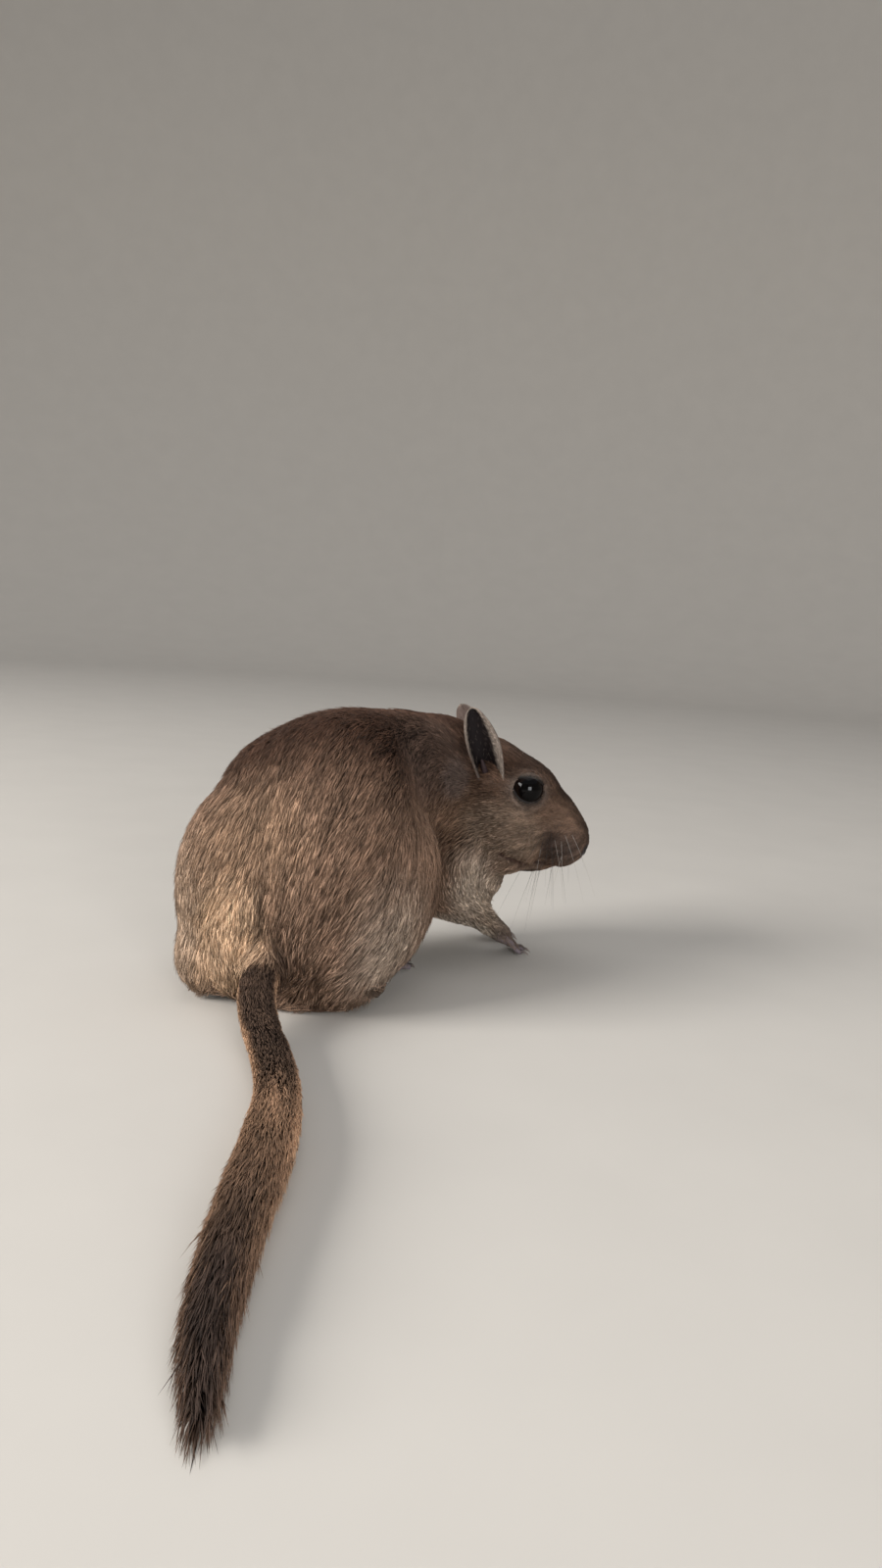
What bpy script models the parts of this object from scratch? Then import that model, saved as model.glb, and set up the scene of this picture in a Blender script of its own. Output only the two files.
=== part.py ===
"""A life-size still model of a sandy brown gerbil, sitting hunched with its head turned to its right.

Row frame: the origin is on the floor under the belly, +X runs forward from the tail over the hips,
+Y is the animal's left and +Z is up. Sizes are in millimetres until a mesh is made, in metres.
The solids follow the outside of the coat, so the outline is that of the furred animal.
"""

import math
import random

import bmesh
import bpy
from mathutils import Euler, Matrix, Vector

MM = 0.001
GAP = 0.3  # left between touching nodes
SLIVER = 0.000005  # metres, the length under which an edge is melted away
SEED = 11

# Trunk: it starts at the tail's root and curls to the animal's right
TRUNK_START = (-25.5, 7.4)
TRUNK_STATIONS = (  # run to the next one, heading in degrees, half width, top, bottom
    (5.0, -15, 9.0, 19.0, 1.0),
    (7.0, -16, 15.5, 34.0, -0.5),
    (8.0, -18, 19.5, 43.5, -0.5),
    (9.0, -22, 21.0, 48.5, -0.5),
    (9.0, -30, 18.5, 50.2, -0.3),
    (8.5, -42, 14.8, 50.2, 2.0),
    (7.5, -54, 13.6, 49.8, 6.0),
    (6.0, -66, 13.5, 49.0, 9.0),
    (6.0, -78, 12.2, 47.8, 11.0),
    (0.0, -86, 10.5, 44.0, 14.0),
)
TRUNK_RINGS = 28
TRUNK_SIDES = 28
WIDEST_AT = 0.40  # of a section's height
UPPER_TAPER = 0.85  # under 1 broadens the back, which is hunched

# Haunches: the furred thighs of a sitting rodent, each over a lower leg that spreads at the floor
HAUNCH_SIZE = (16.0, 12.8, 19.0)
HAUNCH_HEADING = -20
HAUNCH_LEAN = {"right": 13, "left": 6}  # degrees, the top leaning to the right, into the curl
HAUNCH_CENTRE = {"right": (-6.0, -7.8, 18.0), "left": (-7.0, 12.4, 20.5)}
SHANK_SIZE = (13.0, 8.0, 9.2)
SHANK_CENTRE = {"right": (-12.5, -5.2, 7.2), "left": (-9.5, 15.8, 7.3)}
HAUNCH_CUT_GROWTH = 0.9  # how far the parting surface lies outside the thigh's own form

# Loin: the left flank is the outer side of the curl, and swells
LOIN_CENTRE = (-1.0, 7.0, 30.0)
LOIN_SIZE = (17.0, 12.0, 16.5)

# Breast and arms
BREAST_CENTRE = (20.5, -24.0, 19.5)
BREAST_SIZE = (11.0, 8.0, 12.0)
ARMS = {
    "right": {
        "shoulder": (10.8, -22.0, 24.0),
        "elbow": (10.5, -20.5, 15.2),
        "wrist": (18.5, -30.0, 8.6),
        "knuckles": (22.8, -34.8, 4.1),
        "fingertips": (24.4, -38.9, 1.0),
    },
    "left": {
        "shoulder": (30.0, -21.0, 24.0),
        "elbow": (31.5, -19.0, 15.2),
        "wrist": (32.5, -27.5, 8.0),
        "knuckles": (33.2, -32.6, 3.6),
        "fingertips": (33.6, -36.9, 1.0),
    },
}
SHOULDER_RADIUS = 7.4
ELBOW_RADIUS = 5.2
FOREARM_RADIUS = 4.4
WRIST_RADIUS = 2.9
FORELEG_CUT_UPPER = (7.4, 8.2, 10.6)
FORELEG_CUT_RADIUS = 5.9
FORELEG_CUT_END = 4.5

# Hind feet, flat on the floor under the haunches
FEET = {
    "right": {"heel": (-15.0, -6.0), "ball": (3.0, -11.4), "toe": (11.0, -13.6)},
    "left": {"heel": (-13.5, 13.8), "ball": (4.0, 18.6), "toe": (12.5, 20.6)},
}
HEEL_SIZE = (2.7, 2.6)  # half width and half height
BALL_SIZE = (3.5, 2.0)
FOOT_SPARE = 1.2  # left round the foot where it lies under the haunch
FOOT_RINGS = 8
FOOT_SIDES = 10
FOOT_SOLE = -0.3  # below the floor, so that the floor cut leaves a flat
TOE_RADIUS = 0.95
TOE_FAN = 17  # degrees between toes
TOE_LENGTHS = (0.55, 0.9, 1.0, 0.92, 0.6)
CLAW_LENGTH = 2.2
CLAW_RADIUS = 0.55
FINGER_FAN = 20
FINGER_LENGTHS = (0.75, 1.0, 1.0, 0.78)
FINGER_RADIUS = 0.72
HAND_SIZE = (2.7, 2.1)  # half width and half height of the palm

# Head, in its own frame: origin between the eyes, +X to the nose, +Y to its left, +Z up
HEAD_PLACE = (20.0, -37.6, 36.0)
HEAD_YAW = -93
HEAD_PITCH = 15
CRANIUM = ((-9.0, 0.0, -4.2), (12.5, 9.4, 11.2))
FOREHEAD = ((-3.6, 0.0, -2.0), (11.2, 7.2, 7.7))
CHEEK = ((-4.5, 4.4, -10.6), (11.0, 7.0, 8.8))
MUZZLE = (((-2.0, 0.0, -5.6), 8.4), ((5.0, 0.0, -5.8), 7.2), ((10.2, 0.0, -7.8), 5.4))
WHISKER_PAD = ((9.6, 2.7, -10.0), (4.3, 3.1, 3.6))
NOSE_BALL = ((12.7, 0.0, -8.9), (2.8, 2.7, 2.8))
JAW = (((-2.0, 0.0, -12.8), 5.3), ((4.6, 0.0, -13.7), 3.4), ((8.2, 0.0, -13.4), 2.1))
BROW = ((-1.2, 5.0, 0.2), (5.2, 3.4, 3.2))
ORBIT = ((-0.9, 4.4, -1.5), (6.8, 4.7, 5.8))  # the low mound the eye is seated in
THROAT = (((-8.0, 0.0, -12.0), 9.5), ((-9.0, 0.0, -19.0), 10.5))

EYE_RADIUS = 3.45
EYE_PLACE = (-0.5, 6.2, 0.0)
EYE_LOOK = (0.16, 1.0, 0.10)  # where the left eye's axis points
LID_OPENING = (3.05, 2.75)  # half the length and height of the open eye
LID_THICKNESS = 0.62
LID_STEPS = 26
NOSTRIL_PLACE = (14.7, 1.35, -8.6)
NOSTRIL_SIZE = (1.3, 0.42, 0.75)
NOSE_CLEFT = ((16.2, 0.0, -9.0), (14.2, 0.0, -12.0))
MOUTH_PROFILE = ((1.6, -13.7), (3.8, -14.1), (6.4, -13.9), (9.0, -13.5), (11.2, -13.1))
MOUTH_FRONT = (12.9, -12.9)
MOUTH_WIDTH = 0.42  # radius of the groove between the lips

# The head parts from the neck, and the neck from the trunk, on two tilted planes
NECK_PLANE_POINT = (-15.5, 0.0, -1.5)
NECK_PLANE_TILT = -44  # degrees from upright, its foot forward under the jaw
NECK_LENGTH = 6.5

# Ears: thin cups, standing up and back from the head
EAR_ROOT = (-7.7, 9.0, -3.3)
EAR_LENGTH = 14.8
EAR_HALF_WIDTH = 2.65
EAR_WIDEST = 0.55  # share of its height
EAR_DEPTH = 2.5
EAR_THICKNESS = 0.75
EAR_LEAN_BACK = 33
EAR_LEAN_OUT = 17
EAR_TURN = 2  # degrees, its opening turned forward from square sideways
EAR_RINGS = 8
EAR_SIDES = 12

# Tail: its middle line on the floor plan, from inside the rump to the end of its core
TAIL_PATH = (
    (-22.0, 6.6, 10.0),
    (-30.0, 7.2, 6.6),
    (-38.0, 5.2, 4.0),
    (-48.0, 1.8, 2.9),
    (-60.0, -0.9, 2.8),
    (-74.0, -1.9, 2.8),
    (-92.0, -1.7, 2.5),
    (-107.0, -2.0, 2.0),
    (-119.0, -3.6, 1.5),
)
TAIL_RADII = (3.3, 3.15, 3.05, 3.1, 3.1, 2.9, 2.2, 1.6, 0.9)  # the coat's outside, then the brush's core
TAIL_RINGS = 40
TAIL_SIDES = 12
TAIL_PARTINGS = (0.055, 0.31, 0.54)  # shares of the tail's length where it is cut across
BRUSH_START = 0.56
BRUSH_LOCKS = {"tail_end": 36}
LOCK_LENGTH = (6.5, 9.5)  # at the brush's start and at its end
LOCK_WIDTH = 2.1
LOCK_THICKNESS = 0.75
LOCK_SINK = 0.9
LOCK_LIFT = 13  # degrees off the tail's line
LOCK_GATHER = 0.75  # how far the lift is lost at the tail's end, where the locks close to a point
LOCK_PROFILE = ((0.0, 0.8), (0.3, 1.0), (0.65, 0.72), (1.0, 0.14))  # share of the length, and of the width
LOCK_CLEARANCE = 0.05  # locks lie on the floor and not through it

COAT_COLOUR = (0.21, 0.115, 0.063, 1)
FACE_COLOUR = (0.27, 0.17, 0.10, 1)
TAIL_COLOUR = (0.24, 0.14, 0.08, 1)
SKIN_COLOUR = (0.45, 0.32, 0.30, 1)
EAR_COLOUR = (0.26, 0.16, 0.12, 1)
EYE_COLOUR = (0.005, 0.005, 0.006, 1)


def clear_scene():
    for obj in list(bpy.data.objects):
        bpy.data.objects.remove(obj)


def collection(name):
    made = bpy.data.collections.new(name)
    bpy.context.scene.collection.children.link(made)
    return made


def finish(name, colour, roughness):
    material = bpy.data.materials.new(name)
    material.use_nodes = True
    shader = material.node_tree.nodes["Principled BSDF"]
    shader.inputs["Base Color"].default_value = colour
    shader.inputs["Roughness"].default_value = roughness
    shader.inputs["Metallic"].default_value = 0.0
    return material


def helper(name, mesh):
    """A shape that only cuts, guides or is fused into another one."""
    obj = bpy.data.objects.new(name, mesh)
    HELPERS.objects.link(obj)
    obj.hide_render = True
    obj.display_type = "WIRE"
    return obj


def settled(obj, name=None):
    """The object's mesh with its modifiers applied, as a new helper. The old object is removed."""
    bpy.context.view_layer.update()
    graph = bpy.context.evaluated_depsgraph_get()
    mesh = bpy.data.meshes.new_from_object(obj.evaluated_get(graph))
    mesh.transform(obj.matrix_world)
    name = name or obj.name
    bpy.data.objects.remove(obj)
    return helper(name, mesh)


def from_bmesh(name, bm):
    bmesh.ops.recalc_face_normals(bm, faces=bm.faces)
    mesh = bpy.data.meshes.new(name)
    bm.to_mesh(mesh)
    bm.free()
    return helper(name, mesh)


def ellipsoid(name, centre, size, turn=None, divisions=(24, 16)):
    """A sphere primitive with three half axes, turned, then moved to its centre. All in millimetres."""
    bm = bmesh.new()
    bmesh.ops.create_uvsphere(bm, u_segments=divisions[0], v_segments=divisions[1], radius=1.0)
    place = Matrix.Translation(Vector(centre) * MM)
    spin = (turn or Euler((0, 0, 0))).to_matrix().to_4x4()
    stretch = Matrix.Diagonal((*(s * MM for s in size), 1.0))
    bmesh.ops.transform(bm, matrix=place @ spin @ stretch, verts=bm.verts)
    return from_bmesh(name, bm)


def loft(name, rings):
    """A closed skin over rings of equal count, in millimetres, with a flat fan at each end."""
    bm = bmesh.new()
    rows = [[bm.verts.new(Vector(p) * MM) for p in ring] for ring in rings]
    for low, high in zip(rows, rows[1:]):
        for i in range(len(low)):
            j = (i + 1) % len(low)
            bm.faces.new((low[i], low[j], high[j], high[i]))
    for row in (rows[0], rows[-1]):
        hub = bm.verts.new(sum((v.co for v in row), Vector()) / len(row))
        for i in range(len(row)):
            bm.faces.new((row[i], row[(i + 1) % len(row)], hub))
    return from_bmesh(name, bm)


def eased(values, t):
    """The value at t, from 0 to 1, on a smooth curve through evenly spaced values."""
    place = t * (len(values) - 1)
    i = min(int(place), len(values) - 2)
    u = place - i
    before, a, b, after = (values[max(0, min(len(values) - 1, i + k))] for k in (-1, 0, 1, 2))
    slope_a, slope_b = (b - before) / 2, (after - a) / 2
    return (
        a * (2 * u**3 - 3 * u**2 + 1)
        + slope_a * (u**3 - 2 * u**2 + u)
        + b * (3 * u**2 - 2 * u**3)
        + slope_b * (u**3 - u**2)
    )


def eased_point(points, t):
    return Vector([eased([p[k] for p in points], t) for k in range(3)])


def bevelled(name, points, radii, sides, closed=False):
    """A round rod through the points, from a bevelled curve, with a radius at each point."""
    curve = bpy.data.curves.new(name, "CURVE")
    curve.dimensions = "3D"
    curve.bevel_depth = MM
    curve.bevel_resolution = (sides - 4) // 2
    curve.use_fill_caps = not closed
    spline = curve.splines.new("POLY")
    spline.points.add(len(points) - 1)
    for knot, place, radius in zip(spline.points, points, radii):
        knot.co = (*(Vector(place) * MM), 1.0)
        knot.radius = radius
    spline.use_cyclic_u = closed
    rod = settled(helper(name, curve))
    bm = bmesh.new()
    bm.from_mesh(rod.data)
    bmesh.ops.remove_doubles(bm, verts=bm.verts, dist=0.00001)
    bpy.data.objects.remove(rod)
    bpy.data.curves.remove(curve)
    return from_bmesh(name, bm)


def tube(name, points, radii, rings, sides, start=0.0, end=1.0):
    """A round rod along a smooth curve through the points, from share start to share end."""
    shares = [start + (end - start) * r / (rings - 1) for r in range(rings)]
    middle = [eased_point(points, t) for t in shares]
    return bevelled(name, middle, [eased(radii, t) for t in shares], sides)


def chain(name, stops, steps=7):
    """Overlapping balls along a line of (centre, radius) stops, which fusing turns into a smooth limb."""
    balls = []
    for (a, ra), (b, rb) in zip(stops, stops[1:]):
        for k in range(steps + 1):
            u = k / steps
            centre = Vector(a).lerp(Vector(b), u)
            radius = ra + (rb - ra) * u
            balls.append(ellipsoid(f"{name}_{k}", centre, (radius,) * 3, divisions=(14, 9)))
    return balls


def move(objs, matrix):
    """Moves meshes by a matrix. One that mirrors leaves the faces inside out, so they are turned back."""
    for obj in objs:
        obj.data.transform(matrix)
        if matrix.determinant() < 0:
            obj.data.flip_normals()
    return objs


def joined(name, pieces):
    """All the pieces in one mesh, still as loose shells."""
    bm = bmesh.new()
    for piece in pieces:
        bm.from_mesh(piece.data)
        bpy.data.objects.remove(piece)
    return from_bmesh(name, bm)


def fused_flesh(name, pieces, voxel, rounds, triangles):
    """Fuses overlapping shapes into one smooth skin, and thins it to about so many triangles."""
    block = joined(name, pieces)
    remesh = block.modifiers.new("fuse", "REMESH")
    remesh.mode = "VOXEL"
    remesh.voxel_size = voxel * MM
    smooth = block.modifiers.new("soften", "SMOOTH")
    smooth.factor = 0.5
    smooth.iterations = rounds
    block = settled(block)
    block.data.calc_loop_triangles()
    thin = block.modifiers.new("thin", "DECIMATE")
    thin.ratio = min(1.0, triangles / len(block.data.loop_triangles))
    return settled(block)


def largest_body(obj):
    """Keeps only the closed surface with the most volume."""
    bm = bmesh.new()
    bm.from_mesh(obj.data)
    left = set(bm.faces)
    best, best_volume = None, -1.0
    while left:
        found, edge = set(), [left.pop()]
        while edge:
            face = edge.pop()
            found.add(face)
            for e in face.edges:
                for other in e.link_faces:
                    if other in left:
                        left.discard(other)
                        edge.append(other)
        volume = abs(sum(f.calc_center_median().dot(f.normal) * f.calc_area() for f in found))
        if volume > best_volume:
            best, best_volume = found, volume
    bmesh.ops.delete(bm, geom=[f for f in bm.faces if f not in best], context="FACES")
    bm.to_mesh(obj.data)
    bm.free()
    return obj


def combined(obj, other, operation, solver="EXACT"):
    """Applies one Boolean with another helper, which is then removed."""
    name = obj.name
    step = obj.modifiers.new(operation.lower(), "BOOLEAN")
    step.operation = operation
    step.solver = solver
    step.object = other
    obj = settled(obj, name)
    bpy.data.objects.remove(other)
    return obj


def less(flesh, other):
    """Cuts a fused skin. The exact solver loses faces on these, so the manifold one does it."""
    return combined(flesh, other, "DIFFERENCE", "MANIFOLD")


def united(obj, pieces, solver="EXACT"):
    """One Boolean union of the object with a collection of closed pieces, which is then removed."""
    group = collection(f"{obj.name}_pieces")
    for piece in pieces:
        HELPERS.objects.unlink(piece)
        group.objects.link(piece)
    step = obj.modifiers.new("union", "BOOLEAN")
    step.operation = "UNION"
    step.solver = solver
    step.operand_type = "COLLECTION"
    step.collection = group
    obj = settled(obj)
    for piece in list(group.objects):
        bpy.data.objects.remove(piece)
    bpy.data.collections.remove(group)
    return obj


def copied(obj, name):
    return helper(name, obj.data.copy())


def grown(obj, name, amount):
    """A copy whose faces lie further out by an amount in millimetres."""
    made = copied(obj, name)
    push = made.modifiers.new("grow", "DISPLACE")
    push.strength = amount * MM
    push.mid_level = 0.0
    return settled(made)


def half_space(name, matrix, size=200.0):
    """A block whose top face is the matrix's XY plane, and which fills what lies under it."""
    bm = bmesh.new()
    bmesh.ops.create_cube(bm, size=size * MM)
    bmesh.ops.translate(bm, vec=(0, 0, -size / 2 * MM), verts=bm.verts)
    bmesh.ops.transform(bm, matrix=matrix, verts=bm.verts)
    return from_bmesh(name, bm)


def floor_block():
    return half_space("floor_cut", Matrix.Identity(4), 400.0)


def on_floor(obj):
    """Leaves flats at floor level under a form that reaches just below it."""
    return largest_body(combined(obj, floor_block(), "DIFFERENCE"))


def tidied(mesh):
    """Melts away the slivers that Booleans leave along a cut, as far as the surface stays closed."""
    for share in (1.0, 0.2, 0.04):
        bm = bmesh.new()
        bm.from_mesh(mesh)
        bmesh.ops.triangulate(bm, faces=bm.faces)
        bmesh.ops.dissolve_degenerate(bm, dist=SLIVER * share, edges=bm.edges)
        bmesh.ops.remove_doubles(bm, verts=bm.verts, dist=SLIVER * share)
        bmesh.ops.triangulate(bm, faces=bm.faces)
        closed = all(edge.is_manifold for edge in bm.edges)
        if closed:
            bm.to_mesh(mesh)
        bm.free()
        if closed:
            return


def made_part(obj, name, material):
    """Turns a finished helper into a named node of the animal."""
    mesh = obj.data
    bpy.data.objects.remove(obj)
    mesh.name = name
    tidied(mesh)
    mesh.materials.clear()
    mesh.materials.append(material)
    part = bpy.data.objects.new(name, mesh)
    ANIMAL.objects.link(part)
    mesh.shade_smooth()
    mesh.set_sharp_from_angle(angle=math.radians(50))
    return part


def head_matrix():
    place = Matrix.Translation(Vector(HEAD_PLACE) * MM)
    turn = Euler((0, math.radians(HEAD_PITCH), math.radians(HEAD_YAW)), "XYZ").to_matrix().to_4x4()
    return place @ turn


def trunk_rings():
    """Sections across the trunk, along a spine that curls to the right."""
    plan, place, heading = [], Vector(TRUNK_START), 0.0
    for run, heading, *_ in TRUNK_STATIONS:
        plan.append(place.copy())
        place = place + Vector((math.cos(math.radians(heading)), math.sin(math.radians(heading)))) * run
    columns = list(zip(*TRUNK_STATIONS))
    rings = []
    for r in range(TRUNK_RINGS):
        t = r / (TRUNK_RINGS - 1)
        x, y = (eased([p[k] for p in plan], t) for k in (0, 1))
        heading, half_width, top, bottom = (eased(columns[k], t) for k in (1, 2, 3, 4))
        left = Vector((-math.sin(math.radians(heading)), math.cos(math.radians(heading)), 0))
        middle = bottom + (top - bottom) * WIDEST_AT
        ring = []
        for k in range(TRUNK_SIDES):
            a = 2 * math.pi * k / TRUNK_SIDES
            across, up = math.cos(a), math.sin(a)
            if up > 0:
                across = math.copysign(abs(across) ** UPPER_TAPER, across)
            height = (top - middle) if up > 0 else (middle - bottom)
            ring.append(Vector((x, y, middle + up * height)) + left * across * half_width)
        rings.append(ring)
    return rings


def haunch(side, growth=0.0):
    turn = Euler((math.radians(HAUNCH_LEAN[side]), 0, math.radians(HAUNCH_HEADING)), "XYZ")
    size = [s + growth for s in HAUNCH_SIZE]
    return ellipsoid(f"haunch_{side}", HAUNCH_CENTRE[side], size, turn, (20, 12))


def shank(side, growth=0.0):
    turn = Euler((0, 0, math.radians(HAUNCH_HEADING)))
    return ellipsoid(f"shank_{side}", SHANK_CENTRE[side], [s + growth for s in SHANK_SIZE], turn, (20, 10))


def haunch_region(side, growth):
    """The volume within which the flesh belongs to a thigh."""
    growth += HAUNCH_CUT_GROWTH
    return combined(haunch(side, growth), shank(side, growth), "UNION")


def arm_flesh(side):
    arm = ARMS[side]
    upper = chain(f"upper_arm_{side}", ((arm["shoulder"], SHOULDER_RADIUS), (arm["elbow"], ELBOW_RADIUS)))
    lower = chain(
        f"forearm_{side}",
        ((arm["elbow"], ELBOW_RADIUS), (arm["wrist"], WRIST_RADIUS), (arm["knuckles"], WRIST_RADIUS * 0.7)),
    )
    return upper + lower


def body_forms():
    forms = [loft("trunk", trunk_rings())]
    for side in ("right", "left"):
        forms += [haunch(side), shank(side)]
        forms += arm_flesh(side)
    forms.append(ellipsoid("breast", BREAST_CENTRE, BREAST_SIZE, Euler((0, 0, math.radians(-80)))))
    forms.append(ellipsoid("loin", LOIN_CENTRE, LOIN_SIZE, Euler((0, 0, math.radians(-30)))))
    forms.append(tube("tail_stub", TAIL_PATH, TAIL_RADII, 8, 16, 0.0, 0.2))
    return forms


def both(name, form):
    """An off-centre ball on the head's left, and its mirror image on the right."""
    centre, size = form
    other = (centre[0], -centre[1], centre[2])
    return [ellipsoid(f"{name}_left", centre, size), ellipsoid(f"{name}_right", other, size)]


def head_forms():
    forms = [ellipsoid("cranium", *CRANIUM), ellipsoid("forehead", *FOREHEAD), ellipsoid("nose", *NOSE_BALL)]
    forms += both("cheek", CHEEK) + both("whisker_pad", WHISKER_PAD)
    forms += both("brow", BROW) + both("orbit", ORBIT)
    forms += chain("muzzle", MUZZLE) + chain("jaw", JAW) + chain("throat", THROAT)
    return move(forms, HEAD)


def eye_matrix(side):
    """A frame at an eye's centre whose +Z looks out of the head and whose +X points forward."""
    sign = 1 if side == "left" else -1
    look = Vector((EYE_LOOK[0], EYE_LOOK[1] * sign, EYE_LOOK[2])).normalized()
    ahead = (Vector((1, 0, 0)) - look * look.x).normalized()
    up = look.cross(ahead)
    frame = Matrix((ahead, up, look)).transposed().to_4x4()
    place = Matrix.Translation(Vector((EYE_PLACE[0], EYE_PLACE[1] * sign, EYE_PLACE[2])) * MM)
    return HEAD @ place @ frame


def lid_ring(side):
    """The rim of both lids: a ring laid on the eyeball, drawn out to a corner at each end of the eye."""
    reach = EYE_RADIUS + GAP + LID_THICKNESS * 0.45
    middle = []
    for k in range(LID_STEPS):
        a = 2 * math.pi * k / LID_STEPS
        corner = abs(math.cos(a)) ** 5 * 0.4
        x = math.cos(a) * (LID_OPENING[0] + LID_THICKNESS + corner)
        y = math.sin(a) * (LID_OPENING[1] + LID_THICKNESS) - corner * 0.5
        middle.append((x, y, math.sqrt(max(0.4, reach**2 - x**2 - y**2))))
    ring = bevelled(f"lid_{side}", middle, [LID_THICKNESS] * LID_STEPS, 6, closed=True)
    return move([ring], eye_matrix(side))[0]


def eyeball(side, growth=0.0, divisions=(16, 10)):
    ball = ellipsoid(f"ball_{side}", (0, 0, 0), (EYE_RADIUS + growth,) * 3, divisions=divisions)
    return move([ball], eye_matrix(side))[0]


def mouth_points(surface):
    """The line between the lips, seen from the side and laid on the skin, from corner to corner."""
    back = HEAD.inverted()
    half = []
    for x, z in MOUTH_PROFILE:
        start = HEAD @ (Vector((x, 30.0, z)) * MM)
        inward = (HEAD.to_3x3() @ Vector((0, -1, 0))).normalized()
        hit, place, *_ = surface.ray_cast(start, inward)
        half.append(back @ place / MM if hit else Vector((x, 0.5, z)))
    middle = Vector((MOUTH_FRONT[0], 0.0, MOUTH_FRONT[1]))
    return half + [middle] + [Vector((p.x, -p.y, p.z)) for p in reversed(half)]


def groove(name, points, radius):
    """A cutter along a line in the head's own frame."""
    made = tube(name, points, [radius] * len(points), 3 * len(points), 6)
    return move([made], HEAD)[0]


def nostril(side):
    sign = 1 if side == "left" else -1
    place = (NOSTRIL_PLACE[0], NOSTRIL_PLACE[1] * sign, NOSTRIL_PLACE[2])
    turn = Euler((math.radians(-28 * sign), 0, math.radians(38 * sign)), "XYZ")
    return move([ellipsoid(f"nostril_{side}", place, NOSTRIL_SIZE, turn, (10, 6))], HEAD)[0]


def neck_plane(shift):
    """The plane between head and neck, moved back along the neck by a shift in millimetres."""
    tilt = Euler((0, math.radians(90 + NECK_PLANE_TILT), 0), "XYZ").to_matrix().to_4x4()
    place = Matrix.Translation(Vector(NECK_PLANE_POINT) * MM)
    return HEAD @ place @ tilt @ Matrix.Translation((0, 0, -shift * MM))


def flipped(matrix):
    return matrix @ Matrix.Rotation(math.pi, 4, "X")


def foreleg_region(side, growth):
    """The volume within which the flesh belongs to a foreleg, from the shoulder to past the wrist."""
    shoulder, elbow, wrist = (Vector(ARMS[side][k]) for k in ("shoulder", "elbow", "wrist"))
    forearm = wrist - elbow
    along = forearm.to_track_quat("X", "Z").to_euler()
    upper = [s + growth for s in FORELEG_CUT_UPPER]
    lower = [forearm.length * 0.5 + FORELEG_CUT_END + growth] + [FORELEG_CUT_RADIUS + growth] * 2
    return combined(
        ellipsoid(f"shoulder_region_{side}", shoulder.lerp(elbow, 0.5), upper, None, (16, 10)),
        ellipsoid(f"forearm_region_{side}", elbow.lerp(wrist, 0.55), lower, along, (16, 10)),
        "UNION",
    )


def wrist_plane(side, shift):
    arm = ARMS[side]
    wrist, knuckles = Vector(arm["wrist"]), Vector(arm["knuckles"])
    ahead = ((knuckles - wrist) * Vector((1, 1, 0))).normalized()
    turn = ahead.to_track_quat("Z", "Y").to_matrix().to_4x4()
    return Matrix.Translation((wrist + ahead * (1.2 - shift)) * MM) @ turn


def digits(name, root, tip, lengths, fan, spread, radius, lift):
    """Toes or fingers in a fan from the ball of the foot, each ending in a claw."""
    root, tip = Vector(root), Vector(tip)
    ahead, reach = (tip - root).normalized(), (tip - root).length
    side = Vector((0, 0, 1)).cross(ahead).normalized()
    made = []
    middle = (len(lengths) - 1) / 2
    for k, share in enumerate(lengths):
        turn = math.radians(fan * (k - middle) * 0.55)
        way = ahead * math.cos(turn) + side * math.sin(turn)
        start = root + side * spread * (k - middle) / max(middle, 1)
        end = start + way * reach * share
        knuckle = start.lerp(end, 0.5) + Vector((0, 0, lift))
        start.z, end.z = root.z, radius * 0.75
        sunk = start - way * radius * 1.6
        path = (sunk, start, knuckle, end)
        radii = (radius * 0.9, radius * 1.1, radius, radius * 0.8)
        made.append(tube(f"{name}_{k}", path, radii, 4, 6))
        claw_end = end + way * CLAW_LENGTH * (radius / TOE_RADIUS)
        claw_end.z = CLAW_RADIUS * 0.3
        claw_path = (end - way * 0.8, end + way * 0.3 + Vector((0, 0, 0.35)), claw_end)
        claw_radii = (CLAW_RADIUS, CLAW_RADIUS * 0.85, 0.12)
        made.append(tube(f"{name}_claw_{k}", claw_path, claw_radii, 3, 4))
    return made


def foot(side):
    """A long hind foot: heel, narrow instep, ball and five clawed toes."""
    plan = FEET[side]
    heel, ball, toe = (Vector((*plan[k], 0)) for k in ("heel", "ball", "toe"))
    ahead = (ball - heel).normalized()
    across = Vector((-ahead.y, ahead.x, 0))
    rings = []
    widths = (HEEL_SIZE[0] * 0.55, HEEL_SIZE[0], HEEL_SIZE[0] * 0.95, BALL_SIZE[0], BALL_SIZE[0] * 0.8)
    heights = (HEEL_SIZE[1] * 0.6, HEEL_SIZE[1], HEEL_SIZE[1], BALL_SIZE[1], BALL_SIZE[1] * 0.55)
    for k in range(FOOT_RINGS):
        t = k / (FOOT_RINGS - 1)
        half_width = eased(widths, t)
        half_height = eased(heights, t)
        centre = (heel - ahead * 1.6).lerp(ball + ahead * 1.2, t) + Vector((0, 0, FOOT_SOLE + half_height))
        rings.append(
            [
                centre + across * half_width * math.cos(a) + Vector((0, 0, half_height * math.sin(a)))
                for a in (2 * math.pi * j / FOOT_SIDES for j in range(FOOT_SIDES))
            ]
        )
    sole = loft(f"sole_{side}", rings)
    root = ball + Vector((0, 0, 1.2))
    tip = toe + Vector((0, 0, 0.8))
    toes = digits(f"toe_{side}", root, tip, TOE_LENGTHS, TOE_FAN, 2.3, TOE_RADIUS, 0.9)
    return largest_body(united(sole, toes))


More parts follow.
